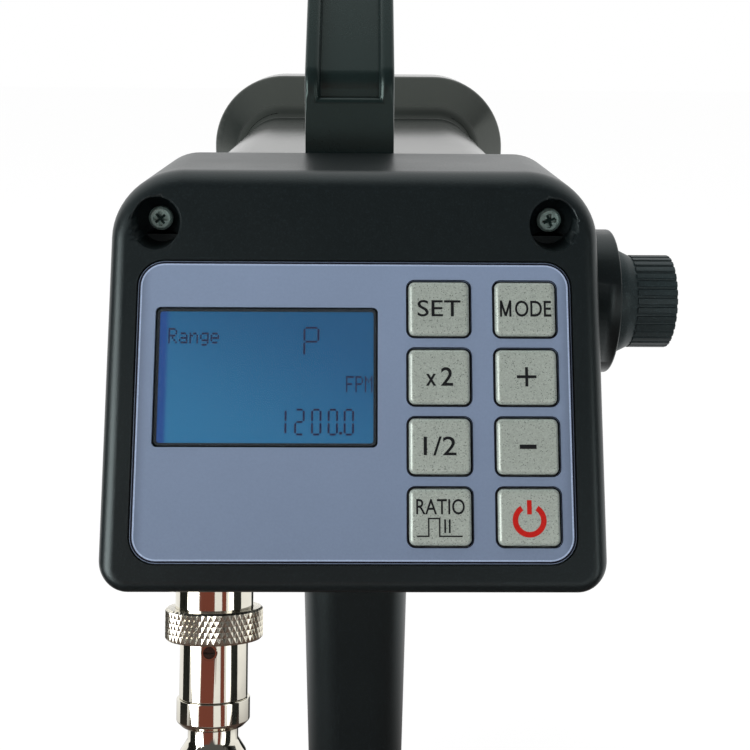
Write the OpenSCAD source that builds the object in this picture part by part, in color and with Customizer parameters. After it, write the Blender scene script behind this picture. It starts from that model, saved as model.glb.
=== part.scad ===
// Hand-held LED stroboscope: control box with a slanted panel, lamp head, carry handle, grip and plug.
// The origin is the mouth of the tripod bush in the grip's base; +Y is the way the light goes, +Z is up.

/* [Control box] */
// Width of the control box
box_w = 96; // [94:0.5:110]
// Length of the panel along its slope
panel_len = 82.5; // [80:0.5:92]
// How far the panel reaches below its reference point
panel_drop = 34.5; // [32:0.5:38]
// Lean of the panel from upright, in degrees
panel_lean = 27; // [22:0.5:30]
// Height of the panel's reference point above the grip's base
panel_h = 150; // [140:1:165]
// Distance of the panel's reference point behind the tripod bush
panel_back = 46; // [42:0.5:54]
// Radius of the panel's upper corners
top_corner_r = 14; // [12:0.5:16]
// Radius of the panel's lower corners
low_corner_r = 6; // [5.5:0.25:8]
// Rounding of the panel's outer edge
edge_r = 3.5; // [3:0.25:5]
// Depth of the rear cover, square to the panel
cover_depth = 7.4; // [6.8:0.1:9]
// Wall of the mouldings
wall = 2.6; // [2:0.1:3]
// Thickness of the panel plate
plate_t = 3; // [2.4:0.1:3.4]
// Slope of the belly under the box, in degrees
belly_slope = 21.5; // [16:0.5:26]
// Length of the belly along its slope
belly_len = 42; // [38:0.5:48]
// Rounding of the belly's front edge
belly_r = 6; // [4:0.5:8]
// Distance of the box's front wall ahead of the tripod bush
box_front = 10; // [6:0.5:14]
// Height of the box's front wall
front_h = 68; // [64:0.5:74]
// How much narrower the box is at its front wall
front_taper = 4; // [2:0.5:8]
// Radius of the front wall's corners
front_corner_r = 10.5; // [8:0.5:14]

/* [Panel] */
// Distance of the label from the box's sides
label_side = 6.2; // [5.6:0.1:8]
// Distance of the label from the panel's lower end
label_low = 6.6; // [5:0.1:7.5]
// Distance of the label from the panel's upper end
label_high = 18.1; // [17:0.1:19.5]
// Corner radius of the label
label_r = 5; // [2:0.5:8]
// Thickness of the label
label_t = 0.5; // [0.3:0.05:0.6]
// Depth of the label's recess
label_recess = 0.6; // [0.4:0.05:0.9]
// Distance of the display window from the label's left side
window_side = 3.8; // [3:0.1:5]
// Distance of the display window from the label's upper end
window_high = 9.3; // [8:0.1:10.5]
// Distance between the display window and the keys
window_space = 6.2; // [4.5:0.1:7]
// Height of the display window
window_h = 26.5; // [22:0.2:28]
// Thickness of the display window
window_t = 1.5; // [1:0.1:1.8]
// Width of the ledge behind the window
window_ledge = 1.2; // [0.8:0.1:2]
// Width of a key
key_w = 11.7; // [10:0.1:12.5]
// Space between the columns of keys
key_space_x = 4.95; // [4:0.05:6]
// Space between the rows of keys
key_space_s = 2.68; // [2.4:0.02:3.2]
// Distance of the keys from the label's right side
key_side = 3.05; // [2.5:0.05:3.5]
// Distance of the keys from the label's upper end
key_high = 3.96; // [3.5:0.02:4.5]
// Distance of the keys from the label's lower end
key_low = 3.4; // [3:0.05:4]
// Corner radius of a key
key_r = 1.2; // [0.6:0.1:2.5]
// Gap round a key
key_gap = 0.3; // [0.2:0.05:0.4]
// How far a key stands above the panel's face
key_proud = 0.6; // [0.3:0.1:1.2]
// Travel of a key
key_travel = 0.8; // [0.5:0.05:1]
// Width of the rim that keeps a key in
key_rim = 0.7; // [0.5:0.05:0.8]
// Thickness of that rim
key_rim_t = 1; // [0.8:0.1:1.3]

/* [Boards] */
// Thickness of the circuit boards
board_t = 1.6; // [1.2:0.1:2]
// How far the control board stays inside the label's ends
board_inset = 1.9; // [1:0.1:3]
// Thickness of the keypad's sheet
mat_t = 1.2; // [0.8:0.1:1.4]
// Height of the keypad's domes
dome_h = 1.2; // [0.8:0.1:1.6]
// Size of a board screw's thread
board_screw_d = 2; // [1.6:0.1:2.2]

/* [Cover screws] */
// Size of a cover screw's thread
cover_screw_d = 2.5; // [2:0.1:3]
// Length of a cover screw's shank
cover_screw_len = 12; // [8:0.5:16]
// Width of the recess round a cover screw
cover_recess_d = 9.5; // [8:0.1:9.6]
// Depth of that recess along the screw
cover_recess_depth = 6.6; // [4:0.1:6.8]
// Distance of the cover screws from the box's sides
cover_screw_side = 9.1; // [8.8:0.1:10]
// Distance of the cover screws from the panel's upper end
cover_screw_high = 10.5; // [9.8:0.1:11]

/* [Dial] */
// Width over the ribs of the dial
dial_d = 20; // [18:0.2:24]
// Width of the dial's skirt
dial_skirt_d = 22.2; // [20:0.2:26]
// Length of the dial
dial_len = 12.5; // [11:0.25:16]
// Length of the dial's ribbed part
dial_grip_len = 8; // [5:0.25:8.5]
// Number of ribs round the dial
dial_ribs = 33; // [24:1:44]
// Width of the boss behind the dial
dial_boss_d = 31; // [27:0.5:32]
// How far the boss stands out from the box
dial_boss_out = 6.5; // [4:0.25:7]
// Place of the dial's axis along the light
dial_y = -11; // [-13:0.25:-10]
// Distance of the dial's axis below the box's top
dial_drop = 29.1; // [26:0.1:32]
// Thickness of the dial's shaft
shaft_d = 6; // [5:0.1:6.3]

/* [Plug] */
// Distance of the socket from the box's left side
socket_side = 19.9; // [18:0.1:24]
// Distance of the socket from the parting line, along the belly
socket_run = 10.5; // [10:0.1:14]
// Width of the socket's threaded barrel
socket_d = 15.6; // [14:0.1:16]
// Width of the socket's flange
flange_d = 18; // [17:0.1:19]
// Width of the coupling ring
ring_d = 19.5; // [18:0.1:22]
// Length of the coupling ring
ring_len = 6.2; // [5:0.1:8]
// Distance of the ring from the belly
ring_start = 7.1; // [6.8:0.1:9.5]
// Width of the plug's front shell
plug_d = 13.6; // [13:0.1:13.9]
// Length of the plug's front shell below the ring
plug_len = 11.6; // [8:0.1:16]
// Width of the plug's rear shell
rear_shell_d = 14.6; // [14:0.1:16]
// Length of the plug's rear shell
rear_shell_len = 5.6; // [5:0.1:9]
// Length of the cable clamp
clamp_len = 10; // [8:0.5:14]
// Width of the cable clamp
clamp_d = 13.2; // [12:0.1:14]
// Width of the hole for the cable
cable_d = 6; // [5:0.1:6.4]

/* [Lamp head] */
// Distance of the neck's top below the box's top
neck_drop = 0.77; // [0.4:0.01:2]
// Width of the neck
neck_w = 75; // [72:0.5:80]
// Height of the neck
neck_h = 55; // [53:0.5:56]
// Length of the neck from the box to the hood
neck_len = 118; // [106:1:126]
// Corner radius of the neck
neck_r = 12; // [11:0.5:13]
// How far the hood stands out from the neck
hood_step = 12.4; // [11:0.2:15]
// Slope of the flare between the neck and the hood, in degrees
hood_flare = 36; // [30:6:42]
// Length of the hood
hood_len = 28; // [26:0.5:40]
// Hollow between the neck and the hood
hood_fillet = 6; // [3:0.25:7]
// Rounding where the flare meets the hood
hood_edge_r = 3; // [1:0.25:4]
// Thickness of the front window
lens_t = 3; // [2:0.1:3.5]
// Thickness of the front bezel
bezel_t = 4; // [3:0.1:6]
// Thickness of the window's seal
seal_t = 1.5; // [1:0.1:1.8]
// Number of lights across the lamp
led_cols = 7; // [4:1:8]
// Number of lights up the lamp
led_rows = 5; // [3:1:6]
// Thickness of the heat sink's base
sink_t = 4; // [3:0.25:5]
// Length of the heat sink's fins
fin_len = 26; // [16:1:30]
// Number of the heat sink's fins
fin_n = 9; // [5:1:11]

/* [Carry handle] */
// Width of the carry handle
handle_w = 20.5; // [18:0.5:24]
// Place of the handle across the neck
handle_x = -1.6; // [-3:0.1:3]
// Place of the handle's rear face along the light
handle_rear = 14.5; // [14:0.25:18]
// Length of the handle
handle_len = 89; // [84:1:90]
// Height of the handle
handle_h = 52; // [46:1:60]
// Height of the upright foot below the rear slope
handle_foot = 17; // [14:0.5:20]
// Thickness of the handle's bar
handle_t = 14; // [12:0.5:16]
// Width of the channel along the handle
channel_w = 13.4; // [10:0.2:14]
// Depth of that channel
channel_d = 3; // [1.5:0.25:4]

/* [Grip] */
// Width of the grip at its top
grip_w = 26; // [24:0.5:30]
// Depth of the grip at its top
grip_depth = 40; // [38:0.5:44]
// Corner radius of the grip
grip_r = 9; // [6:0.5:11]
// Distance of the grip's seat below the belly
grip_drop = 8.2; // [6:0.1:12]
// Taper of the grip's sides from top to base
grip_taper = 3; // [0:0.25:4]
// Place of the grip's top ahead of its base
grip_rake = 14; // [13:0.5:16]
// Thickness of the base cap
cap_t = 6; // [5:0.25:8]
// Width of the tripod bush
bush_d = 10; // [9:0.1:11]
// Length of the tripod bush
bush_len = 12; // [11.5:0.25:16]
// Bore of the bush's thread
bush_bore = 5.1; // [4.8:0.1:5.6]
// Depth of the bush's thread
bush_depth = 10; // [8:0.25:11]
// Size of the grip and handle screws
body_screw_d = 4; // [3:0.1:4.4]

/* [Hidden] */
// Radial clearance of close fits
fit = 0.05;
// Clearance between parts that don't touch
gap = 0.3;
// Thickness of a layer in a lofted form
layer = 0.02;
// Sides of the round corners in a lofted form
loft_fn = 64;
// Sides of the round ends of the belly
belly_fn = 32;
// Overlap of a cut beyond the face that it opens
cut = 1;
// Width of a screw's head for the width of its thread
head_ratio = 1.9;
// Height of a screw's head for the width of its thread
head_h_ratio = 0.6;

// Panel and parting plane
panel_y = -panel_back;
s_low = -panel_drop;
s_high = panel_len - panel_drop;
shear = tan(panel_lean);
edge_steps = 8;
part_shift = shear * cover_depth;
function panel_point(s, d) = [
    panel_y + s * sin(panel_lean) + d * cos(panel_lean),
    panel_h + s * cos(panel_lean) - d * sin(panel_lean)
];
part_low = panel_point(s_low + part_shift, cover_depth);
box_top_z = panel_point(s_high, 0)[1];
cover_screw_x = box_w / 2 - cover_screw_side;
cover_screw_s = s_high - cover_screw_high;
cover_point = panel_point(cover_screw_s, 0);
cover_boss_wall = 1.7;
cover_boss_d = cover_recess_d + 2 * cover_boss_wall;
cover_boss_len = cover_recess_depth + cover_screw_len + wall;

// Belly and front wall
belly_y = part_low[0] + belly_len * cos(belly_slope);
belly_z = part_low[1] - belly_len * sin(belly_slope);
front_z = box_top_z - front_h / 2;
front_w = box_w - front_taper;

// Panel layers, measured down from the panel's face
label_w = box_w - 2 * label_side;
label_len = panel_len - label_low - label_high;
label_high_s = s_high - label_high;
label_mid_s = label_high_s - label_len / 2;
label_top = label_recess - label_t;
key_rows = 4;
key_pitch_x = key_w + key_space_x;
key_pitch_s = (label_len - key_high - key_low + key_space_s) / key_rows;
key_h = key_pitch_s - key_space_s;
key_x = label_w / 2 - key_side - key_w / 2 - key_pitch_x;
key_s = label_high_s - key_high - key_h / 2;
window_left = window_side - label_w / 2;
window_right = key_x - key_w / 2 - window_space;
window_w = window_right - window_left;
window_x = (window_left + window_right) / 2;
window_s = label_high_s - window_high - window_h / 2;
window_r = 1;
window_floor = label_top + window_t;
key_open_w = key_w + 2 * key_gap;
key_open_h = key_h + 2 * key_gap;
key_rim_w = key_open_w + 2 * key_rim;
key_rim_h = key_open_h + 2 * key_rim;
key_bottom = plate_t + key_rim_t;
dome_gap = 0.2;
dome_top = key_bottom + key_travel + dome_gap;
mat_top = dome_top + dome_h;
board_top = mat_top + mat_t;
board_bottom = board_top + board_t;
boss_wall = 1.2;
boss_gap = 0.45;
board_boss_d = board_screw_d + 2 * boss_wall;
display_margin = 1.6;
keys_edge_x = key_x + key_pitch_x + key_rim_w / 2;
display_edge_x = window_w / 2 - window_x + display_margin;
board_screw_x = max(keys_edge_x, display_edge_x) + board_boss_d / 2 + boss_gap;
board_screw_bite = 3;
board_screw_len = board_t + board_screw_bite;
board_edge = 1.6;
board_w = 2 * (board_screw_x + board_edge);
board_screw_s = [key_s - key_pitch_s / 2, key_s - 5 * key_pitch_s / 2];
board_len = label_len - 2 * board_inset;
board_r = 2;
mat_margin = 0.2;

// Dial and encoder
dial_z = box_top_z - dial_drop;
dial_wall_x = box_w / 2;
dial_face_x = dial_wall_x + dial_boss_out;
dial_seat_step = 0.5;
dial_seat_x = dial_wall_x + dial_seat_step;
dial_pad_depth = 5.5;
dial_pad_x = dial_wall_x - dial_pad_depth;
dial_pad_d = 24;
dial_gap = 0.5;
dial_start_x = dial_face_x + dial_gap;
dial_end_x = dial_start_x + dial_len;
dial_skirt_len = dial_len - dial_grip_len;
dial_dish = 0.8;
dial_dish_rim = 2;
thread_wall = 0.7;
thread_d = shaft_d + 2 * thread_wall;
nut_wall = 2;
nut_d = thread_d + 2 * nut_wall;
washer_t = 0.5;
washer_rim = 1;
washer_d = nut_d + 2 * washer_rim;
nut_t = 2;
thread_tip = 0.5;
thread_end_x = dial_seat_x + washer_t + nut_t + thread_tip;
encoder_side = 13;
encoder_t = 6.5;
dial_web = 2.2;
shaft_end_x = dial_end_x - dial_web;
shaft_back = 1;
shaft_back_x = dial_pad_x + shaft_back;
rib_share = 0.4;
rib_d = rib_share * PI * dial_d / dial_ribs;
rib_lap = 0.3;
rib_fn = 16;
grub_d = 2.5;
grub_len = 4;
grub_x = dial_start_x + dial_skirt_len / 2;

// Plug and socket, measured down from the belly
socket_x = socket_side - box_w / 2;
socket_flange_t = 2;
socket_nut_t = 3;
socket_nut_wall = 1.5;
socket_nut_d = socket_d + 2 * socket_nut_wall;
socket_tail_tip = 1;
socket_tail = wall + socket_nut_t + socket_tail_tip;
nose_wall = 0.6;
socket_bore = plug_d - 2 * nose_wall;
insert_wall = 1;
insert_bore = socket_bore - 2 * insert_wall;
ring_land = 2.6;
ring_end = ring_start + ring_len;
ring_inner_z = ring_end - ring_land;
shoulder_t = 1.4;
shoulder_gap = 0.4;
shoulder_d = socket_d - 2 * shoulder_gap;
socket_len = ring_inner_z - shoulder_t;
plug_end = ring_end + plug_len;
rear_end = plug_end + rear_shell_len;
clamp_end = rear_end + clamp_len;
plug_wall = 1.5;
plug_bore = plug_d - 2 * plug_wall;
nose_gap = 0.5;
nose_start = socket_flange_t + 3 * nose_gap;
insert_t = 4;
plug_insert_t = 6;
contact_len = 8;
contact_wall = 0.3;
pin_d = 1.6;
pin_circle_d = 6;
pin_n = 4;
pin_tail = 3;
clamp_neck_wall = 2;
clamp_neck_d = cable_d + 2 * clamp_neck_wall;
rear_hole_d = cable_d + 2 * gap;
rear_chamfer = 1.2;
set_screw_d = 2.4;
set_screw_step = 1.7;
set_screw_z = ring_end + set_screw_step;
set_screw_slot = 0.5;
ring_knurls = 40;
ring_rim = 0.7;
knurl_share = 0.6;
knurl_d = knurl_share * PI * ring_d / ring_knurls;
clamp_screw_d = 1.6;
clamp_screw_x = (cable_d + clamp_d) / 4;
clamp_screw_z = clamp_end - clamp_len / 4;
clamp_screw_len = 2 * sqrt(pow(clamp_d / 2, 2) - pow(clamp_screw_x, 2));

// Lamp
neck_top_z = box_top_z - neck_drop;
lamp_z = neck_top_z - neck_h / 2;
core_x = neck_w / 2 - neck_r;
core_z = neck_h / 2 - neck_r;
flange_y = box_front + neck_len;
hood_r = neck_r + hood_step;
flare_lead = 5;
flare_start = neck_len - flare_lead;
flare_end = flare_start + hood_step / tan(hood_flare);
flare_bend = tan(hood_flare / 2);
flare_fn = 60;
web_share = 0.85;
web_r = neck_r + web_share * flare_lead * tan(hood_flare);
web_y = flange_y + wall;
hood_end = flange_y + hood_len;
lens_y = hood_end - lens_t;
ledge_y = lens_y - seal_t;
ledge_t = 1.2;
ledge_w = 2;
lip_r = 3;
sink_lap = 9;
sink_r = lip_r + sink_lap;
sink_y = web_y;
led_board_y = sink_y + sink_t;
led_face_y = led_board_y + board_t;
led_side = 3.6;
led_h = 1;
reflector_t = 1.2;
reflector_y = led_face_y;
reflector_front_r = hood_r - wall - ledge_w - reflector_t;
reflector_inset = 1;
reflector_back_r = sink_r - reflector_t - reflector_inset;
bezel_lip = 2.6;
bezel_chamfer = 1.4;
seal_w = 1.6;
lamp_boss_d = 8;
lamp_boss_len = 14;
lamp_screw_d = 3;
lamp_screw_len = 12;
corner_share = 0.57;
lamp_screw_x = core_x + corner_share * (neck_r - wall);
lamp_screw_z = core_z + corner_share * (neck_r - wall);
led_screw_d = 2.5;
led_screw_lap = 1.6;
led_screw_in = lip_r + led_screw_lap;
led_screw_x = core_x + led_screw_in;
led_screw_z = core_z + led_screw_in;
fin_t = 1.6;
sink_gap = 1.2;

// Driver board in the neck
driver_start = 20;
driver_y = box_front + driver_start;
driver_len = 44;
driver_w = 54;
standoff_h = 5;
standoff_d = 6;
driver_z = lamp_z - neck_h / 2 + wall + standoff_h;
driver_edge = 4;
driver_post_x = driver_w / 2 - driver_edge;
driver_post_y = [driver_y + driver_edge, driver_y + driver_len - driver_edge];
driver_screw_tip = 1;
driver_screw_len = board_t + standoff_h - driver_screw_tip;
capacitor_d = 12;
capacitor_len = 18;
capacitor_space = 2;
capacitor_pitch = capacitor_d + capacitor_space;

// Carry handle
handle_front = handle_rear + handle_len;
handle_top_z = neck_top_z + handle_h;
handle_slope = handle_h - handle_foot;
handle_front_share = 0.62;
handle_front_foot = handle_front_share * handle_h;
handle_nose = 12;
handle_round = 9;
handle_screw_y = [handle_rear + handle_t / 2, handle_front - handle_t / 2];
handle_screw_x = 5;
handle_screw_len = 12;

// Grip
grip_top = belly_z - grip_drop;
grip_low_w = grip_w - grip_taper;
grip_low_depth = grip_depth - 2 * grip_taper;
grip_plate = 6;
grip_screw_y = [grip_rake - grip_depth / 4, grip_rake + grip_depth / 4];
grip_screw_len = 13;
root_rise = 3.2;
root_top = box_top_z - front_h + root_rise;
root_depth = 2 * grip_depth / 3;
cap_boss_wall = 3;
cap_boss_d = bush_d + 2 * cap_boss_wall;
cap_boss_roof = 2;
cap_screw_d = 3;
cap_screw_share = 0.36;
cap_screw_y = cap_screw_share * grip_low_depth;
cap_screw_bite = 10;
cap_screw_len = cap_t / 2 + cap_screw_bite;
cap_post_d = 8;
cap_post_len = 16;

$fn = 64;

black = [0.07, 0.07, 0.075];
graphite = [0.13, 0.13, 0.14];
lavender = [0.58, 0.61, 0.76];
silver = [0.78, 0.77, 0.74];
nickel = [0.72, 0.69, 0.64];
steel = [0.6, 0.61, 0.62];
board_green = [0.1, 0.32, 0.18];

// Frames

// X across the panel, Y up its slope, Z out of its face
module panel_frame() {
    translate([0, panel_y, panel_h]) rotate([90 - panel_lean, 0, 0]) children();
}

// Z along a cover screw, from the panel's face into the box
module cover_screw_frame(side) {
    translate([side * cover_screw_x, cover_point[0], cover_point[1]]) rotate([-90, 0, 0]) children();
}

// Z along the dial's axis, starting at the middle plane
module dial_frame() {
    translate([0, dial_y, dial_z]) rotate([0, 90, 0]) children();
}

// Z down out of the belly along the socket's axis, starting at the belly's face
module socket_frame() {
    translate([
        socket_x,
        part_low[0] + socket_run * cos(belly_slope),
        part_low[1] - socket_run * sin(belly_slope)
    ]) rotate([180 - belly_slope, 0, 0]) children();
}

// Z along the light, Y down, starting at the plane of the tripod bush
module lamp_frame(y) {
    translate([0, y, lamp_z]) rotate([-90, 0, 0]) children();
}

// Shared shapes

module rounded_rect(w, h, r) {
    square([w - 2 * r, h], center = true);
    square([w, h - 2 * r], center = true);
    for (x = [-1, 1], y = [-1, 1]) translate([x * (w / 2 - r), y * (h / 2 - r)]) circle(r);
}

module tube(d, bore, h) {
    difference() {
        cylinder(d = d, h = h);
        translate([0, 0, -cut]) cylinder(d = bore, h = h + 2 * cut);
    }
}

// A profile carried round the lamp's rounded rectangle; its X is measured from the corners' centres
module lamp_sweep() {
    for (i = [0 : 3]) {
        along = (i % 2 == 0) ? core_x : core_z;
        across = (i % 2 == 0) ? core_z : core_x;
        rotate(90 * i) {
            translate([along, across, 0]) rotate_extrude(angle = 90) children();
            translate([along, across, 0]) rotate([90, 0, 0]) linear_extrude(2 * across) children();
        }
    }
}

// A plate with the lamp's rounded outline; r is its corner radius
module lamp_plate(r, t) {
    linear_extrude(t) rounded_rect(2 * (core_x + r), 2 * (core_z + r), r);
}

// A pan-head screw with its head's seat at Z 0, head towards -Z and shank towards +Z
module screw(d, len) {
    head_d = head_ratio * d;
    head_h = head_h_ratio * d;
    translate([0, 0, -head_h]) difference() {
        rotate_extrude() polygon([
            [0, 0], [0.38 * head_d, 0], [head_d / 2, head_h / 3], [head_d / 2, head_h], [0, head_h]
        ]);
        for (a = [0, 90]) rotate(a) cube([0.6 * head_d, 0.16 * head_d, head_h], center = true);
    }
    cylinder(d = d - 2 * fit, h = len);
}

// The four corners of the panel's outline as thin discs, for a loft: depth is measured below the face,
// the outline is carried along the light's direction and drawn in from its edge by the inset
module panel_layer(depth, inset) {
    half = box_w / 2;
    panel_frame() translate([0, shear * depth, -depth - layer]) for (x = [-1, 1]) {
        translate([x * (half - top_corner_r), s_high - top_corner_r, 0])
            cylinder(r = top_corner_r - inset, h = layer, $fn = loft_fn);
        translate([x * (half - low_corner_r), s_low + low_corner_r, 0])
            cylinder(r = low_corner_r - inset, h = layer, $fn = loft_fn);
    }
}

// The four corners of a rounded rectangle as thin discs, for a loft
module corner_discs(w, h, r, inset) {
    for (x = [-1, 1], y = [-1, 1]) translate([x * (w / 2 - r), y * (h / 2 - r), 0])
        cylinder(r = r - inset, h = layer, $fn = loft_fn);
}

module panel_plate(w, h, r, x, s, top, bottom) {
    translate([x, s, -bottom]) linear_extrude(bottom - top) rounded_rect(w, h, r);
}

module each_key() {
    for (row = [0 : key_rows - 1], col = [0 : 1])
        translate([key_x + col * key_pitch_x, key_s - row * key_pitch_s, 0]) children();
}

module key_cuts(top, bottom) {
    each_key() panel_plate(key_open_w, key_open_h, key_r + key_gap, 0, 0, top, bottom);
}

module window_cut(top, bottom) {
    panel_plate(window_w + 2 * gap, window_h + 2 * gap, window_r, window_x, window_s, top, bottom);
}

module board_screw_places() {
    for (x = [-1, 1], s = board_screw_s) translate([x * board_screw_x, s, 0]) children();
}

// The four corners round the lamp's axis
module lamp_corners(x, z) {
    for (i = [-1, 1], j = [-1, 1]) translate([i * x, j * z, 0]) children();
}

module driver_posts() {
    for (x = [-1, 1], y = driver_post_y) translate([x * driver_post_x, y, driver_z]) children();
}

module handle_screw_places() {
    for (x = [-1, 1], y = handle_screw_y) translate([handle_x + x * handle_screw_x, y, neck_top_z])
        children();
}

module cap_screw_places() {
    for (y = [-1, 1]) translate([0, y * cap_screw_y, 0]) children();
}

// Rear cover and panel

module cover_body() {
    hull() {
        for (k = [0 : edge_steps]) {
            a = 90 * k / edge_steps;
            panel_layer(edge_r * (1 - cos(a)), edge_r * (1 - sin(a)));
        }
        panel_layer(cover_depth - layer, 0);
    }
}

module cover_hollow() {
    hull() {
        panel_layer(plate_t, wall);
        panel_layer(cover_depth + cut, wall);
    }
}

module rear_cover() {
    color(black) difference() {
        union() {
            difference() {
                cover_body();
                cover_hollow();
            }
            intersection() {
                cover_body();
                for (side = [-1, 1]) cover_screw_frame(side)
                    translate([0, 0, -cover_boss_d]) cylinder(d = cover_boss_d, h = 3 * cover_boss_d);
            }
            panel_frame() board_screw_places() translate([0, 0, -board_top])
                cylinder(d = board_boss_d, h = board_top - plate_t + label_recess);
        }
        panel_frame() {
            panel_plate(label_w + 2 * gap, label_len + 2 * gap, label_r + gap, 0, label_mid_s,
                -cut, label_recess);
            window_cut(-cut, window_floor);
            panel_plate(window_w - 2 * window_ledge, window_h - 2 * window_ledge, window_r,
                window_x, window_s, -cut, plate_t + cut);
            key_cuts(-cut, plate_t + cut);
            board_screw_places() translate([0, 0, -board_top - cut])
                cylinder(d = board_screw_d, h = board_top - plate_t + cut);
        }
        for (side = [-1, 1]) cover_screw_frame(side) {
            translate([0, 0, -cover_boss_d])
                cylinder(d = cover_recess_d, h = cover_boss_d + cover_recess_depth);
            cylinder(d = cover_screw_d + 2 * gap, h = 4 * cover_boss_d);
        }
    }
}

module panel_label() {
    color(lavender) panel_frame() difference() {
        panel_plate(label_w, label_len, label_r, 0, label_mid_s, label_top, label_recess);
        window_cut(label_top - cut, label_recess + cut);
        key_cuts(label_top - cut, label_recess + cut);
    }
}

module display_window() {
    color([0.2, 0.45, 0.75]) panel_frame()
        panel_plate(window_w, window_h, window_r, window_x, window_s, label_top, window_floor);
}

module display_module() {
    color([0.16, 0.34, 0.6]) panel_frame() panel_plate(
        window_w + 2 * display_margin, window_h + 2 * display_margin, window_r,
        window_x, window_s, plate_t, board_top
    );
}

module key(row, col) {
    color(silver) panel_frame() translate([key_x + col * key_pitch_x, key_s - row * key_pitch_s, 0]) {
        panel_plate(key_w, key_h, key_r, 0, 0, -key_proud, plate_t);
        panel_plate(key_rim_w, key_rim_h, key_r + key_gap + key_rim, 0, 0, plate_t, key_bottom);
    }
}

module key_set() { key(0, 0); }
module key_mode() { key(0, 1); }
module key_double() { key(1, 0); }
module key_plus() { key(1, 1); }
module key_half() { key(2, 0); }
module key_minus() { key(2, 1); }
module key_ratio() { key(3, 0); }
module key_power() { key(3, 1); }

module keypad_mat() {
    mat_w = key_pitch_x + key_rim_w + 2 * mat_margin;
    mat_h = (key_rows - 1) * key_pitch_s + key_rim_h + 2 * mat_margin;
    color([0.32, 0.33, 0.35]) panel_frame() {
        panel_plate(mat_w, mat_h, board_r, key_x + key_pitch_x / 2, key_s - (key_rows - 1) * key_pitch_s / 2,
            mat_top, board_top);
        each_key() translate([0, 0, -mat_top]) cylinder(d1 = 0.65 * key_h, d2 = 0.45 * key_h, h = dome_h);
    }
}

module control_board() {
    color(board_green) difference() {
        panel_frame() difference() {
            panel_plate(board_w, board_len, board_r, 0, label_mid_s, board_top, board_bottom);
            board_screw_places() translate([0, 0, -board_bottom - cut])
                cylinder(d = board_screw_d + gap, h = board_t + 2 * cut);
        }
        socket_frame() translate([0, 0, -socket_tail - socket_nut_t])
            cylinder(d = socket_nut_d + 4 * gap, h = 2 * socket_tail);
    }
}

module board_screws() {
    color(steel) panel_frame() board_screw_places() translate([0, 0, -board_bottom])
        screw(board_screw_d, board_screw_len);
}

module cover_screws() {
    color(steel) for (side = [-1, 1]) cover_screw_frame(side) translate([0, 0, cover_recess_depth])
        screw(cover_screw_d, cover_screw_len);
}

// Box housing

// The box behind the parting plane; an inset gives the hollow inside it
module box_body(inset, back) {
    half = box_w / 2 - belly_r;
    hull() {
        panel_layer(cover_depth + back, inset);
        for (x = [-1, 1])
            translate([x * half, belly_y + belly_r * sin(belly_slope), belly_z + belly_r * cos(belly_slope)])
                sphere(belly_r - inset, $fn = belly_fn);
        translate([0, box_front - inset, front_z]) rotate([90, 0, 0])
            corner_discs(front_w, front_h, front_corner_r, inset);
    }
}

// The root that carries the grip
module grip_root() {
    hull() {
        translate([0, grip_rake, grip_top]) corner_discs(grip_w, grip_depth, grip_r, 0);
        translate([0, box_front - root_depth / 2, root_top]) corner_discs(grip_w, root_depth, grip_r, 0);
    }
}

module box_housing() {
    color(black) difference() {
        union() {
            difference() {
                union() {
                    box_body(0, 0);
                    grip_root();
                }
                box_body(wall, -cut);
            }
            intersection() {
                box_body(0, 0);
                for (side = [-1, 1]) cover_screw_frame(side) cylinder(d = cover_boss_d, h = cover_boss_len);
            }
            dial_frame() translate([0, 0, dial_pad_x]) {
                cylinder(d = dial_pad_d, h = dial_wall_x - dial_pad_x);
                translate([0, 0, dial_wall_x - dial_pad_x - wall])
                    cylinder(d = dial_boss_d, h = dial_boss_out + wall);
            }
            socket_frame() translate([0, 0, -wall]) cylinder(d = socket_nut_d + 2 * gap, h = wall / 2);
        }
        for (side = [-1, 1]) cover_screw_frame(side)
            cylinder(d = cover_screw_d, h = cover_recess_depth + cover_screw_len + gap);
        dial_frame() {
            translate([0, 0, dial_pad_x - cut]) cylinder(d = thread_d + 2 * fit, h = dial_boss_d);
            translate([0, 0, dial_seat_x]) cylinder(d = washer_d + 2, h = dial_boss_d);
        }
        socket_frame() translate([0, 0, -3 * wall]) cylinder(d = socket_d + 2 * fit, h = 4 * wall);
        lamp_frame(box_front - 2 * wall) {
            lamp_plate(lip_r, 3 * wall);
            lamp_corners(lamp_screw_x, lamp_screw_z) cylinder(d = lamp_screw_d + gap, h = 3 * wall);
        }
        for (y = grip_screw_y) translate([0, y, grip_top - cut])
            cylinder(d = body_screw_d, h = grip_screw_len - grip_plate + gap + cut);
    }
}

// Dial and encoder

module encoder_body() {
    color([0.25, 0.25, 0.27]) dial_frame() difference() {
        union() {
            translate([0, 0, dial_pad_x - encoder_t / 2])
                cube([encoder_side, encoder_side, encoder_t], center = true);
            translate([0, 0, dial_pad_x]) cylinder(d = thread_d, h = thread_end_x - dial_pad_x);
        }
        translate([0, 0, shaft_back_x]) cylinder(d = shaft_d + 2 * fit, h = dial_boss_d);
    }
}

module encoder_washer() {
    color(steel) dial_frame() translate([0, 0, dial_seat_x])
        tube(washer_d, thread_d + 2 * fit, washer_t);
}

module encoder_nut() {
    color(steel) dial_frame() translate([0, 0, dial_seat_x + washer_t]) difference() {
        cylinder(d = nut_d, h = nut_t, $fn = 6);
        translate([0, 0, -cut]) cylinder(d = thread_d + 2 * fit, h = nut_t + 2 * cut);
    }
}

module dial_shaft() {
    color(steel) dial_frame() translate([0, 0, shaft_back_x])
        cylinder(d = shaft_d, h = shaft_end_x - shaft_back_x);
}

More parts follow.
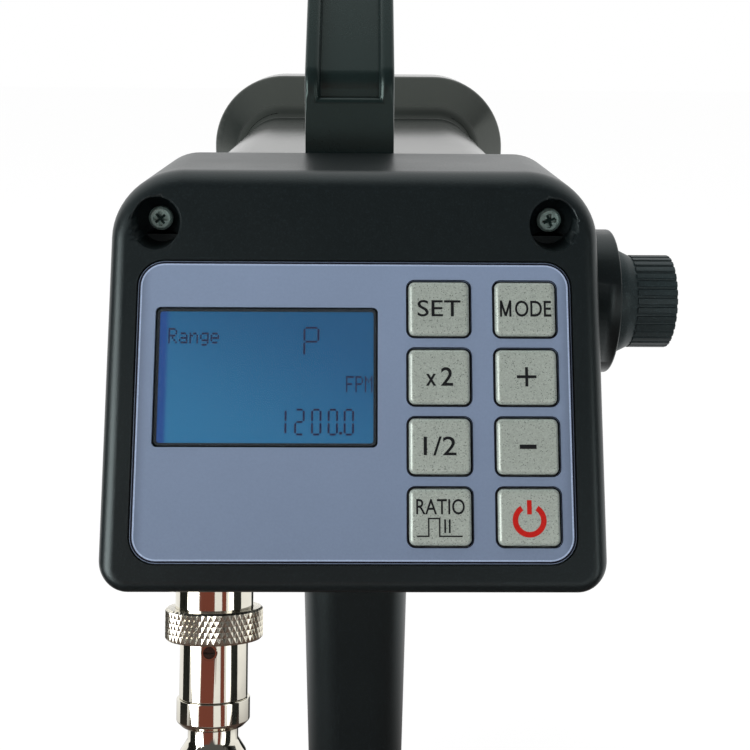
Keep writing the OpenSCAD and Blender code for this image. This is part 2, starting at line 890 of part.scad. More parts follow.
module dial_knob() {
    color(black) dial_frame() difference() {
        union() {
            translate([0, 0, dial_start_x]) rotate_extrude() polygon([
                [0, 0],
                [dial_skirt_d / 2, 0],
                [dial_skirt_d / 2, dial_skirt_len / 3],
                [(dial_d - rib_d) / 2, dial_skirt_len],
                [0, dial_skirt_len]
            ]);
            translate([0, 0, dial_end_x - dial_grip_len - rib_lap])
                linear_extrude(dial_grip_len + rib_lap) difference() {
                    circle(d = dial_d);
                    for (i = [0 : dial_ribs - 1]) rotate(360 * i / dial_ribs)
                        translate([dial_d / 2, 0]) circle(d = rib_d, $fn = rib_fn);
                }
        }
        translate([0, 0, dial_start_x - cut])
            cylinder(d = shaft_d + 2 * fit, h = shaft_end_x - dial_start_x + cut);
        translate([0, 0, dial_end_x - dial_dish])
            cylinder(d = dial_d - 2 * dial_dish_rim, h = dial_dish + cut);
        translate([0, 0, grub_x]) rotate([0, 90, 0]) cylinder(d = grub_d, h = dial_skirt_d);
    }
}

module dial_grub_screw() {
    color(steel) dial_frame() translate([shaft_d / 2 + fit, 0, grub_x]) rotate([0, 90, 0])
        cylinder(d = grub_d - 2 * fit, h = grub_len);
}

// Socket and plug

module socket_shell() {
    color(nickel) socket_frame() difference() {
        union() {
            cylinder(d = flange_d, h = socket_flange_t);
            translate([0, 0, -socket_tail]) cylinder(d = socket_d, h = socket_tail + socket_len);
        }
        translate([0, 0, nose_start - nose_gap]) cylinder(d = socket_bore + 2 * fit, h = socket_len);
        translate([0, 0, -socket_tail - cut]) cylinder(d = insert_bore, h = socket_tail + socket_len);
    }
}

module socket_nut() {
    color(nickel) socket_frame() translate([0, 0, -wall - socket_nut_t])
        tube(socket_nut_d, socket_d + 2 * fit, socket_nut_t);
}

module pin_places() {
    for (i = [0 : pin_n - 1]) rotate(45 + 360 * i / pin_n) translate([pin_circle_d / 2, 0, 0]) children();
}

module socket_insert() {
    color(graphite) socket_frame() translate([0, 0, -insert_t]) difference() {
        cylinder(d = insert_bore - 2 * fit, h = insert_t);
        pin_places() translate([0, 0, -cut]) cylinder(d = pin_d, h = insert_t + 2 * cut);
    }
}

module socket_pins() {
    color([0.83, 0.68, 0.35]) socket_frame() pin_places()
        translate([0, 0, -insert_t - pin_tail])
            cylinder(d = pin_d - 2 * fit, h = pin_tail + 2 * insert_t + nose_start);
}

module plug_shell() {
    color(nickel) socket_frame() difference() {
        union() {
            translate([0, 0, nose_start]) cylinder(d = socket_bore - 2 * fit, h = socket_len);
            translate([0, 0, socket_len]) cylinder(d = shoulder_d, h = shoulder_t - fit);
            translate([0, 0, socket_len]) cylinder(d = plug_d, h = plug_end - socket_len);
        }
        translate([0, 0, nose_start - cut]) cylinder(d = plug_bore, h = plug_end);
        translate([0, 0, set_screw_z]) rotate([-90, 0, 0]) cylinder(d = set_screw_d, h = plug_d);
    }
}

module plug_insert() {
    color(graphite) socket_frame() translate([0, 0, nose_start]) difference() {
        cylinder(d = plug_bore - 2 * fit, h = plug_insert_t);
        pin_places() translate([0, 0, -cut])
            cylinder(d = pin_d + 2 * contact_wall, h = plug_insert_t + 2 * cut);
    }
}

module plug_contacts() {
    color([0.83, 0.68, 0.35]) socket_frame() pin_places() translate([0, 0, nose_start]) difference() {
        cylinder(d = pin_d + 2 * contact_wall - 2 * fit, h = contact_len);
        translate([0, 0, -cut]) cylinder(d = pin_d, h = insert_t + cut);
    }
}

module coupling_ring() {
    color(nickel) socket_frame() difference() {
        translate([0, 0, ring_start]) {
            cylinder(d = ring_d - ring_rim, h = ring_len);
            translate([0, 0, ring_rim]) linear_extrude(ring_len - 2 * ring_rim) difference() {
                circle(d = ring_d);
                for (i = [0 : ring_knurls - 1]) rotate(360 * i / ring_knurls)
                    translate([ring_d / 2, 0]) circle(d = knurl_d, $fn = rib_fn);
            }
        }
        translate([0, 0, ring_start - cut]) cylinder(d = socket_d + 2 * fit, h = ring_len - ring_land + cut);
        translate([0, 0, ring_start]) cylinder(d = plug_d + 2 * fit, h = ring_len + cut);
    }
}

module plug_set_screw() {
    depth = (plug_d - plug_bore) / 2 - fit;
    color(steel) socket_frame() translate([0, plug_bore / 2, set_screw_z]) rotate([-90, 0, 0]) difference() {
        cylinder(d = set_screw_d - 2 * fit, h = depth);
        translate([0, 0, depth]) cube([set_screw_d, set_screw_slot, 2 * set_screw_slot], center = true);
    }
}

module plug_rear_shell() {
    outer = rear_shell_d / 2;
    color(nickel) socket_frame() translate([0, 0, plug_end]) rotate_extrude() polygon([
        [plug_bore / 2, 0],
        [outer, 0],
        [outer, rear_shell_len - rear_chamfer],
        [outer - rear_chamfer, rear_shell_len],
        [rear_hole_d / 2, rear_shell_len],
        [rear_hole_d / 2, rear_shell_len / 2],
        [plug_bore / 2, rear_shell_len / 2]
    ]);
}

module cable_clamp() {
    color(nickel) socket_frame() difference() {
        translate([0, 0, rear_end]) rotate_extrude() polygon([
            [cable_d / 2, 0],
            [clamp_neck_d / 2, 0],
            [clamp_neck_d / 2, clamp_len / 4],
            [clamp_d / 2, clamp_len / 2],
            [clamp_d / 2, clamp_len],
            [cable_d / 2, clamp_len]
        ]);
        for (side = [-1, 1]) translate([side * clamp_screw_x, 0, clamp_screw_z]) rotate([90, 0, 0])
            cylinder(d = clamp_screw_d, h = 2 * clamp_d, center = true);
    }
}

module clamp_screws() {
    color(steel) socket_frame() for (side = [-1, 1]) translate([side * clamp_screw_x, 0, clamp_screw_z])
        rotate([90, 0, 0]) cylinder(d = clamp_screw_d - 2 * fit, h = clamp_screw_len, center = true);
}

// Lamp head

// Three points round a bend of the flare, each a tangent length away from it
function flare_corner(r, y, reach) = [
    [r, y],
    [r, y - reach],
    [r + reach * sin(hood_flare), y + reach * cos(hood_flare)]
];

module lamp_profile() {
    crease = hood_fillet * flare_bend;
    rim = hood_edge_r * flare_bend;
    polygon([
        [neck_r - wall, 0],
        [neck_r, 0],
        [neck_r, flare_start],
        [hood_r - rim * sin(hood_flare), flare_end - rim * cos(hood_flare)],
        [hood_r, flare_end + rim],
        [hood_r, neck_len + hood_len],
        [hood_r - wall, neck_len + hood_len],
        [hood_r - wall, flare_end + wall * flare_bend],
        [neck_r - wall, flare_start + wall * flare_bend]
    ]);
    translate([lip_r, neck_len]) square([web_r - lip_r, wall]);
    difference() {
        polygon(flare_corner(neck_r, flare_start, crease));
        translate([neck_r + hood_fillet, flare_start - crease]) circle(hood_fillet, $fn = flare_fn);
    }
    intersection() {
        rotate(180) polygon(flare_corner(-hood_r, -flare_end, rim));
        translate([hood_r - hood_edge_r, flare_end + rim]) circle(hood_edge_r, $fn = flare_fn);
    }
    translate([hood_r - wall - ledge_w, ledge_y - box_front - ledge_t]) square([ledge_w + wall / 2, ledge_t]);
}

module lamp_housing() {
    color(black) difference() {
        union() {
            lamp_frame(box_front) lamp_sweep() lamp_profile();
            lamp_frame(box_front) intersection() {
                lamp_plate(neck_r, lamp_boss_len);
                lamp_corners(lamp_screw_x, lamp_screw_z) cylinder(d = lamp_boss_d, h = lamp_boss_len);
            }
            driver_posts() translate([0, 0, -standoff_h - wall / 2])
                cylinder(d = standoff_d, h = standoff_h + wall / 2);
        }
        lamp_frame(box_front - cut) lamp_corners(lamp_screw_x, lamp_screw_z)
            cylinder(d = lamp_screw_d, h = lamp_screw_len - wall + gap + cut);
        lamp_frame(flange_y - cut) lamp_corners(led_screw_x, led_screw_z)
            cylinder(d = led_screw_d, h = 2 * wall);
        driver_posts() translate([0, 0, -standoff_h]) cylinder(d = board_screw_d, h = standoff_h + cut);
        handle_screw_places() translate([0, 0, -2 * wall])
            cylinder(d = body_screw_d + gap, h = 3 * wall);
    }
}

module lamp_screws() {
    color(steel) lamp_frame(box_front - wall) lamp_corners(lamp_screw_x, lamp_screw_z)
        screw(lamp_screw_d, lamp_screw_len);
}

module front_bezel() {
    color(black) lamp_frame(hood_end) lamp_sweep() polygon([
        [hood_r - wall - bezel_lip, 0],
        [hood_r, 0],
        [hood_r, bezel_t - bezel_chamfer],
        [hood_r - bezel_chamfer, bezel_t],
        [hood_r - wall - bezel_lip, bezel_t]
    ]);
}

module front_window() {
    color([0.8, 0.86, 0.9]) lamp_frame(lens_y) lamp_plate(hood_r - wall - gap, lens_t);
}

module window_seal() {
    color(graphite) lamp_frame(ledge_y) lamp_sweep() translate([hood_r - wall - gap - seal_w, 0])
        square([seal_w, seal_t]);
}

module reflector() {
    reach = ledge_y - ledge_t - reflector_y;
    rim_r = hood_r - wall - gap;
    color([0.85, 0.86, 0.88]) lamp_frame(reflector_y) lamp_sweep() polygon([
        [reflector_back_r, 0],
        [reflector_back_r + reflector_t, 0],
        [reflector_front_r + reflector_t, reach - reflector_t],
        [rim_r, reach - reflector_t],
        [rim_r, reach],
        [reflector_front_r, reach]
    ]);
}

module led_board() {
    color([0.86, 0.87, 0.86]) lamp_frame(led_board_y) difference() {
        lamp_plate(sink_r, board_t);
        lamp_corners(led_screw_x, led_screw_z) translate([0, 0, -cut])
            cylinder(d = led_screw_d + gap, h = board_t + 2 * cut);
    }
}

module leds() {
    span_x = 2 * (led_screw_x - led_screw_d - led_side);
    span_z = 2 * (led_screw_z - led_screw_d - led_side / 2);
    color([0.95, 0.93, 0.7]) lamp_frame(led_face_y) for (i = [0 : led_cols - 1], j = [0 : led_rows - 1])
        translate([span_x * (i / (led_cols - 1) - 0.5), span_z * (j / (led_rows - 1) - 0.5), 0]) {
            translate([0, 0, led_h / 2]) cube([led_side, led_side, led_h], center = true);
            translate([0, 0, led_h]) intersection() {
                sphere(d = 0.8 * led_side, $fn = 24);
                cylinder(d = led_side, h = led_side);
            }
        }
}

module led_screws() {
    color(steel) lamp_frame(led_face_y) lamp_corners(led_screw_x, led_screw_z) rotate([180, 0, 0])
        screw(led_screw_d, board_t + sink_t + wall);
}

module heat_sink() {
    fin_w = 2 * (core_x + lip_r - sink_gap);
    fin_h = 2 * (core_z + lip_r - sink_gap);
    color([0.7, 0.71, 0.72]) difference() {
        union() {
            lamp_frame(sink_y) lamp_plate(sink_r, sink_t);
            lamp_frame(sink_y - fin_len) for (i = [0 : fin_n - 1])
                translate([(fin_w - fin_t) * (i / (fin_n - 1) - 0.5) - fin_t / 2, -fin_h / 2, 0])
                    cube([fin_t, fin_h, fin_len + sink_t / 2]);
        }
        lamp_frame(sink_y - cut) lamp_corners(led_screw_x, led_screw_z)
            cylinder(d = led_screw_d + gap, h = sink_t + 2 * cut);
    }
}

module driver_board() {
    color(board_green) difference() {
        translate([-driver_w / 2, driver_y, driver_z]) cube([driver_w, driver_len, board_t]);
        driver_posts() translate([0, 0, -cut]) cylinder(d = board_screw_d + gap, h = board_t + 2 * cut);
    }
}

module driver_screws() {
    color(steel) driver_posts() translate([0, 0, board_t]) rotate([180, 0, 0])
        screw(board_screw_d, driver_screw_len);
}

module capacitors() {
    color([0.12, 0.16, 0.3]) for (i = [-1 : 1])
        translate([i * capacitor_pitch, driver_y + driver_len / 2, driver_z + board_t])
            cylinder(d = capacitor_d, h = capacitor_len);
}

// Carry handle

// Side outline of the handle; the inset draws in its outer edge for the channel's floor
module handle_outline(inset) {
    low = neck_top_z;
    top = handle_top_z - inset;
    rear = handle_rear + inset;
    front = handle_front - inset;
    round = handle_round - inset;
    offset(r = round) offset(delta = -round) polygon([
        [rear, low - 2 * round],
        [rear, low + handle_foot],
        [rear + handle_slope - 0.4 * inset, top],
        [front - handle_nose, top],
        [front, low + handle_front_foot],
        [front, low - 2 * round]
    ]);
}

module handle_gap() {
    low = neck_top_z;
    rear = handle_rear + handle_t;
    front = handle_front - handle_t;
    top = handle_top_z - handle_t;
    offset(r = handle_round) offset(delta = -handle_round) polygon([
        [rear, low - 2 * handle_round],
        [rear, low + handle_foot - 0.4 * handle_t],
        [handle_rear + handle_slope, top],
        [front - handle_nose + 0.4 * handle_t, top],
        [front, low + handle_front_foot - handle_t / 2],
        [front, low - 2 * handle_round]
    ]);
}

// The handle's side shape, cut off level on the neck
module handle_side(inset) {
    difference() {
        handle_outline(inset);
        handle_gap();
        translate([handle_rear - handle_len, neck_top_z - handle_len]) square([3 * handle_len, handle_len]);
    }
}

module handle_slice(from, width) {
    rotate([90, 0, 90]) translate([0, 0, handle_x + from]) linear_extrude(width) children();
}

module carry_handle() {
    rib_w = (handle_w - channel_w) / 2;
    color(black) difference() {
        union() {
            handle_slice(-handle_w / 2, handle_w) handle_side(channel_d);
            for (x = [-handle_w / 2, handle_w / 2 - rib_w]) handle_slice(x, rib_w) handle_side(0);
            handle_slice(-handle_w / 2, handle_w) intersection() {
                handle_side(0);
                translate([handle_rear - cut, neck_top_z]) square([handle_len + 2 * cut, 0.75 * handle_foot]);
            }
        }
        handle_screw_places() translate([0, 0, -cut])
            cylinder(d = body_screw_d, h = handle_screw_len + gap + cut);
    }
}

module handle_screws() {
    color(steel) handle_screw_places() translate([0, 0, -wall]) screw(body_screw_d, handle_screw_len);
}

// Grip

// The raked grip between its base cap and a level; an inset gives the hollow inside it
module grip_body(inset, top) {
    share = (top - cap_t) / (grip_top - cap_t);
    hull() {
        translate([0, share * grip_rake, top - layer]) corner_discs(
            grip_low_w + share * grip_taper, grip_low_depth + share * 2 * grip_taper, grip_r, inset
        );
        translate([0, 0, cap_t]) corner_discs(grip_low_w, grip_low_depth, grip_r, inset);
    }
}

module grip_shell() {
    color(black) difference() {
        union() {
            difference() {
                grip_body(0, grip_top);
                translate([0, 0, -layer]) grip_body(wall, grip_top - grip_plate + layer);
            }
            intersection() {
                grip_body(0, grip_top);
                cap_screw_places() translate([0, 0, cap_t]) cylinder(d = cap_post_d, h = cap_post_len);
            }
        }
        for (y = grip_screw_y) translate([0, y, grip_top - 2 * grip_plate])
            cylinder(d = body_screw_d + gap, h = 3 * grip_plate);
        cap_screw_places() translate([0, 0, cap_t - cut]) cylinder(d = cap_screw_d, h = cap_post_len);
    }
}

module grip_screws() {
    color(steel) for (y = grip_screw_y) translate([0, y, grip_top - grip_plate])
        screw(body_screw_d, grip_screw_len);
}

module base_cap() {
    color(black) difference() {
        union() {
            linear_extrude(cap_t) rounded_rect(grip_low_w, grip_low_depth, grip_r);
            translate([0, 0, cap_t]) cylinder(d = cap_boss_d, h = bush_len + cap_boss_roof - cap_t);
        }
        translate([0, 0, -cut]) cylinder(d = bush_d + 2 * fit, h = bush_len + cut);
        cap_screw_places() translate([0, 0, -cut]) {
            cylinder(d = cap_screw_d + gap, h = cap_t + 2 * cut);
            cylinder(d = head_ratio * cap_screw_d + 2 * gap, h = cap_t / 2 + cut);
        }
    }
}

module tripod_bush() {
    color([0.75, 0.62, 0.32]) difference() {
        cylinder(d = bush_d, h = bush_len);
        translate([0, 0, -cut]) cylinder(d = bush_bore, h = bush_depth + cut);
    }
}

module cap_screws() {
    color(steel) cap_screw_places() translate([0, 0, cap_t / 2]) screw(cap_screw_d, cap_screw_len);
}

rear_cover();
panel_label();
display_window();
display_module();
key_set();
key_mode();
key_double();
key_plus();
key_half();
key_minus();
key_ratio();
key_power();
keypad_mat();
control_board();
board_screws();
cover_screws();
box_housing();
encoder_body();
encoder_washer();
encoder_nut();
dial_shaft();
dial_knob();
dial_grub_screw();
socket_shell();
socket_nut();
socket_insert();
socket_pins();
plug_shell();
plug_insert();
plug_contacts();
coupling_ring();
plug_set_screw();
plug_rear_shell();
cable_clamp();
clamp_screws();
lamp_housing();
lamp_screws();
front_bezel();
front_window();
window_seal();
reflector();
led_board();
leds();
led_screws();
heat_sink();
driver_board();
driver_screws();
capacitors();
carry_handle();
handle_screws();
grip_shell();
grip_screws();
base_cap();
tripod_bush();
cap_screws();
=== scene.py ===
"""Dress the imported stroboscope: studio, finishes and the finer pieces of its looks."""

import logging
import math
from dataclasses import dataclass, field
from enum import Enum
from typing import Any, Callable, Mapping, Optional, Sequence, Union

import bmesh
import bpy
from mathutils import Euler, Matrix, Vector


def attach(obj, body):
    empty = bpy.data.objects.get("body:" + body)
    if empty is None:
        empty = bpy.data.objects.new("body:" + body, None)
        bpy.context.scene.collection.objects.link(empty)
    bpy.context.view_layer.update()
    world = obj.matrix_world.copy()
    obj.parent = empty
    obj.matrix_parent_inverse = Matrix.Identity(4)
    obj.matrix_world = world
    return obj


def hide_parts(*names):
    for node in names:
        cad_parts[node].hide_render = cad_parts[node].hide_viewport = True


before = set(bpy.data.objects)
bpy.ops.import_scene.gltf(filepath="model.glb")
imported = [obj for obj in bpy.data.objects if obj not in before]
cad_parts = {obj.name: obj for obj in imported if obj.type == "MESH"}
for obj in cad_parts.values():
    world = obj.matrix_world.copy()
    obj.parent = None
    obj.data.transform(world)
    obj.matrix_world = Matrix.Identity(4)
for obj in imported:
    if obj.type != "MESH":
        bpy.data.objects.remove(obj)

LOG = logging.getLogger("stroboscope")
# Lengths are in millimetres and angles in degrees where nothing else is said
MM = 0.001
HOUSING = "housing"
# A point this near to a face or a rim lies on it, and an edge sharper than this angle is crisp
NEAR = 0.05
SHARP = 60.0
# The weight of a face that alone sets the shading of its corners
STRONG_FACE = 16384
UPRIGHT = Matrix.Rotation(math.pi / 2, 4, "X")

Colour = tuple[float, float, float]
Pair = tuple[float, float]
Triple = tuple[float, float, float]
Stroke = tuple[float, float, float, float]
EdgeTest = Callable[[bmesh.types.BMEdge], bool]
PointTest = Callable[[Vector], bool]


def paint(red: int, green: int, blue: int) -> Colour:
    """Turn screen values from 0 to 255 into linear light.

    Args:
        red: Red on the screen.
        green: Green on the screen.
        blue: Blue on the screen.

    Returns:
        The colour as linear red, green and blue.
    """
    def linear(value: int) -> float:
        """Undo the screen's curve for one value."""
        share = value / 255
        return share / 12.92 if share <= 0.04045 else ((share + 0.055) / 1.055) ** 2.4

    return linear(red), linear(green), linear(blue)


def lighter(colour: Colour, times: float) -> Colour:
    """Give a colour that is so many times as light."""
    return tuple(min(1.0, part * times) for part in colour)


def middle(values: Sequence[float]) -> float:
    """Give the point halfway between the least and the greatest value."""
    return (min(values) + max(values)) / 2


class Signal:
    """A node's output that takes part in Python arithmetic."""

    def __init__(self, sheet: "Sheet", socket: bpy.types.NodeSocket) -> None:
        """Hold an output socket of a sheet."""
        self.sheet = sheet
        self.socket = socket

    def _math(self, operation: str, first: "Value", second: "Value") -> "Signal":
        """Add a Math node for two values."""
        return self.sheet.node("ShaderNodeMath", {"operation": operation}, {0: first, 1: second})

    def __add__(self, other: "Value") -> "Signal":
        """Add a value."""
        return self._math("ADD", self, other)

    def __radd__(self, other: "Value") -> "Signal":
        """Add to a value."""
        return self._math("ADD", other, self)

    def __sub__(self, other: "Value") -> "Signal":
        """Take a value away."""
        return self._math("SUBTRACT", self, other)

    def __rsub__(self, other: "Value") -> "Signal":
        """Take this away from a value."""
        return self._math("SUBTRACT", other, self)

    def __mul__(self, other: "Value") -> "Signal":
        """Multiply by a value."""
        return self._math("MULTIPLY", self, other)

    def __rmul__(self, other: "Value") -> "Signal":
        """Multiply a value."""
        return self._math("MULTIPLY", other, self)

    def largest(self, other: "Value") -> "Signal":
        """Keep the larger of two values."""
        return self._math("MAXIMUM", self, other)

    def bearing(self, other: "Value") -> "Signal":
        """Give the angle of a point from its two coordinates, in radians."""
        return self._math("ARCTAN2", self, other)

    def ramp(self, low: float, high: float) -> "Signal":
        """Spread the range from low to high smoothly over 0 to 1."""
        return self.sheet.node(
            "ShaderNodeMapRange",
            {"interpolation_type": "SMOOTHSTEP"},
            {"Value": self, "From Min": low, "From Max": high},
        )


Value = Union[float, Signal]


class Sheet:
    """The node tree of a material or of the world."""

    def __init__(self, owner: Union[bpy.types.Material, bpy.types.World]) -> None:
        """Start an empty tree for a material or world.

        Args:
            owner: The material or world that the tree belongs to.
        """
        owner.use_nodes = True
        self.owner = owner
        self.tree = owner.node_tree
        self.tree.nodes.clear()

    def node(
        self,
        kind: str,
        settings: Optional[Mapping[str, Any]] = None,
        sockets: Optional[Mapping[Union[int, str], Any]] = None,
        output: Union[int, str, None] = 0,
    ) -> Optional[Signal]:
        """Add a node, set it up and wire it.

        Args:
            kind: The node's type.
            settings: Its own settings, with a colour ramp's bands as pairs.
            sockets: Values or signals for its inputs.
            output: The output to hand on, or None for a node without one.

        Returns:
            The chosen output as a signal.
        """
        made = self.tree.nodes.new(kind)
        for name, value in (settings or {}).items():
            if name == "bands":
                ramp = made.color_ramp
                ramp.interpolation = "CONSTANT"
                while len(ramp.elements) < len(value):
                    ramp.elements.new(1.0)
                for element, (place, colour) in zip(ramp.elements, value):
                    element.position = place
                    element.color = (*colour, 1.0)
            else:
                setattr(made, name, value)
        for name, value in (sockets or {}).items():
            if isinstance(value, Signal):
                self.tree.links.new(value.socket, made.inputs[name])
            else:
                made.inputs[name].default_value = value
        return None if output is None else Signal(self, made.outputs[output])

    def point(self) -> Signal:
        """Give the place on the piece in Object coordinates."""
        return self.node("ShaderNodeTexCoord", output="Object")

    def local(self, place: "Place", centre: Triple = (0, 0, 0), size: Triple = (1, 1, 1)) -> Signal:
        """Give the place on the piece in one of the part's frames.

        Args:
            place: The frame.
            centre: The point of the frame that becomes zero, in millimetres.
            size: What becomes 1 along each axis, in millimetres.

        Returns:
            The place as a vector.
        """
        where = (place.matrix @ Vector(centre)) * MM
        return self.node(
            "ShaderNodeMapping",
            {"vector_type": "TEXTURE"},
            {
                "Vector": self.point(),
                "Location": where,
                "Rotation": place.matrix.to_euler(),
                "Scale": Vector(size) * MM,
            },
        )

    def part(self, vector: Signal, axis: int) -> Signal:
        """Give one coordinate of a vector."""
        return self.node("ShaderNodeSeparateXYZ", {}, {0: vector}, output=axis)

    def noise(self, scale: float, detail: float = 2.0, vector: Optional[Signal] = None) -> Signal:
        """Give noise with so many swings to the metre.

        Args:
            scale: Swings to the metre.
            detail: Finer layers on top.
            vector: Where to read it, by default the place on the piece.

        Returns:
            Values around 0.5.
        """
        return self.node(
            "ShaderNodeTexNoise",
            {},
            {"Vector": vector or self.point(), "Scale": scale, "Detail": detail},
        )

    def cells(self, scale: float) -> Signal:
        """Give a random grey for each small cell of the surface."""
        colour = self.node(
            "ShaderNodeTexVoronoi", {}, {"Vector": self.point(), "Scale": scale}, output="Color"
        )
        return self.part(colour, 0)

    def tint(self, share: Value, low: Union[Colour, Signal], high: Union[Colour, Signal]) -> Signal:
        """Mix two colours.

        Args:
            share: The share of the second colour.
            low: The first colour.
            high: The second colour.

        Returns:
            The mixed colour.
        """
        ends = [end if isinstance(end, Signal) else (*end, 1.0) for end in (low, high)]
        return self.node(
            "ShaderNodeMix", {"data_type": "RGBA"}, {0: share, 6: ends[0], 7: ends[1]}, output=2
        )

    def bump(self, height: Signal, depth: float, strength: float = 1.0) -> Signal:
        """Turn a height into a normal.

        Args:
            height: Values from 0 to 1.
            depth: Depth of the full range, in millimetres.
            strength: How much of it shows.

        Returns:
            The normal.
        """
        return self.node(
            "ShaderNodeBump", {}, {"Height": height, "Distance": depth * MM, "Strength": strength}
        )

    def surface(self, sockets: Mapping[str, Any]) -> bpy.types.Material:
        """Close the sheet with the general surface shader.

        Args:
            sockets: Values or signals for the shader's inputs.

        Returns:
            The finished material.
        """
        shader = self.node("ShaderNodeBsdfPrincipled", {}, sockets)
        self.node("ShaderNodeOutputMaterial", {}, {"Surface": shader}, output=None)
        return self.owner


@dataclass(frozen=True)
class Place:
    """A frame of the part: where it starts, in millimetres, and how it is turned, in degrees."""

    start: Triple
    turn: Triple

    @property
    def matrix(self) -> Matrix:
        """Give the frame as a matrix in millimetres."""
        turned = Euler([math.radians(angle) for angle in self.turn]).to_matrix().to_4x4()
        return Matrix.Translation(self.start) @ turned


PANEL = Place((0.0, -46.0, 150.0), (63.0, 0.0, 0.0))
DIAL_AXIS = Place((0.0, -11.0, 163.668), (0.0, 90.0, 0.0))
SOCKET_AXIS = Place((-28.1, -43.588, 115.412), (158.5, 0.0, 0.0))


@dataclass(frozen=True)
class Finish:
    """A finish: its name, its slot, which is not used, its colour and its roughness."""

    name: str
    slot: str
    colour: Colour
    roughness: float

    def material(self) -> bpy.types.Material:
        """Give the finish's material, drawn up at its first use."""
        found = bpy.data.materials.get(self.name)
        return found or self.draw(Sheet(bpy.data.materials.new(self.name)))

    def draw(self, sheet: Sheet) -> bpy.types.Material:
        """Draw the finish on an empty sheet."""
        raise NotImplementedError


@dataclass(frozen=True)
class MouldedPlastic(Finish):
    """Moulded plastic with a fine spark grain, slightly uneven gloss and the mould's draft.

    The grain and the patches of gloss count swings to the metre. The crease is where a fold of the
    moulding is dull, along the part, and by default lies beyond it.
    """

    shine: float = 0.5
    depth: float = 0.02
    fleck: float = 0.6
    draft: float = 0.0
    tint: Colour = (0.84, 1.0, 1.0)
    grain: float = 2600.0
    crease: float = 1000.0
    crease_sides: Sequence[Pair] = ((-5.0, -1.0), (6.0, 2.0))
    crease_dull: float = 0.6
    patches: float = 38.0
    fleck_band: Pair = (0.52, 0.72)
    fleck_light: float = 2.4

    def draw(self, sheet: Sheet) -> bpy.types.Material:
        """Draw the grain, its pale flecks and the uneven gloss.

        Args:
            sheet: The empty sheet.

        Returns:
            The material.
        """
        fine = sheet.noise(self.grain, 3.0)
        broad = sheet.noise(self.patches, 3.0)
        flecks = fine.ramp(*self.fleck_band) * self.fleck
        colour = sheet.tint(flecks, self.colour, lighter(self.colour, self.fleck_light))
        rough = self.roughness * ((broad - 0.5) * 0.4 + (fine - 0.5) * 0.3 + 1.0)
        along = sheet.part(sheet.point(), 1)
        past = along - self.crease * MM
        before, behind = (past.ramp(far * MM, near * MM) for far, near in self.crease_sides)
        height = fine * (self.depth * MM) + along * self.draft
        return sheet.surface({
            "Base Color": colour,
            "Roughness": rough + before * behind * self.crease_dull,
            "Specular IOR Level": self.shine,
            "Specular Tint": (*self.tint, 1.0),
            "Normal": sheet.bump(height, 1 / MM),
        })


@dataclass(frozen=True)
class LabelFilm(Finish):
    """Satin printed film, finely mottled, lighter towards the top as painted light and darker towards its
    left and right ends as painted shade.
    """

    half: float = 41.8
    grain: float = 2200.0
    patches: float = 60.0
    # Where the painted shade at the film's left and right ends starts and is full, as shares of half its
    # width
    edge_band: Pair = (0.93, 1.0)

    def draw(self, sheet: Sheet) -> bpy.types.Material:
        """Draw the print's mottling over the film's colour, with the painted light and shade.

        Args:
            sheet: The empty sheet.

        Returns:
            The material.
        """
        fine = sheet.noise(self.grain)
        broad = sheet.noise(self.patches)
        place = sheet.local(PANEL, size=(self.half, self.half, 1))
        across, along = sheet.part(place, 0), sheet.part(place, 1)
        # Besides the mottling, the share rises towards the top of the film as painted light
        share = (fine - 0.5) * 0.5 + (broad - 0.5) * 0.35 + along * 0.5 + 0.5
        mottle_and_painted_light = sheet.tint(share, lighter(self.colour, 0.86), lighter(self.colour, 1.14))
        # Painted shade: the film darkens towards its left and right ends
        edge = across.largest(across * -1.0).ramp(*self.edge_band)
        colour = sheet.tint(edge * 0.6, mottle_and_painted_light, lighter(self.colour, 0.45))
        return sheet.surface({
            "Base Color": colour,
            "Roughness": self.roughness + (fine - 0.5) * 0.1,
            "Specular IOR Level": 0.3,
            "Normal": sheet.bump(fine, 0.006),
        })


@dataclass(frozen=True)
class SilverPaint(Finish):
    """Silver paint with fine metal flakes."""

    flake: float = 5200.0
    patches: float = 90.0

    def draw(self, sheet: Sheet) -> bpy.types.Material:
        """Draw the flakes as small cells of uneven brightness.

        Args:
            sheet: The empty sheet.

        Returns:
            The material.
        """
        flakes = sheet.cells(self.flake)
        broad = sheet.noise(self.patches)
        share = flakes * 0.75 + broad * 0.25
        colour = sheet.tint(share, lighter(self.colour, 0.78), lighter(self.colour, 1.22))
        return sheet.surface({
            "Base Color": colour,
            "Metallic": 0.3,
            "Roughness": self.roughness + (flakes - 0.5) * 0.2,
            "Normal": sheet.bump(flakes, 0.006, 0.5),
        })


@dataclass(frozen=True)
class PlatedMetal(Finish):
    """Polished or satin metal plating with faint smudges."""

    smudge: float = 0.07
    swings: float = 140.0
    metal: float = 1.0
    finer: float = 14.0
    smear_band: Pair = (0.45, 0.75)

    def draw(self, sheet: Sheet) -> bpy.types.Material:
        """Draw smudges in the gloss and a slight change of tone.

        Args:
            sheet: The empty sheet.

        Returns:
            The material.
        """
        broad = sheet.noise(self.swings, 3.0)
        fine = sheet.noise(self.swings * self.finer)
        smear = broad.ramp(*self.smear_band)
        colour = sheet.tint(smear * 0.5 + fine * 0.2, self.colour, lighter(self.colour, 0.86))
        return sheet.surface({
            "Base Color": colour,
            "Metallic": self.metal,
            "Roughness": self.roughness + smear * self.smudge + fine * 0.03,
        })


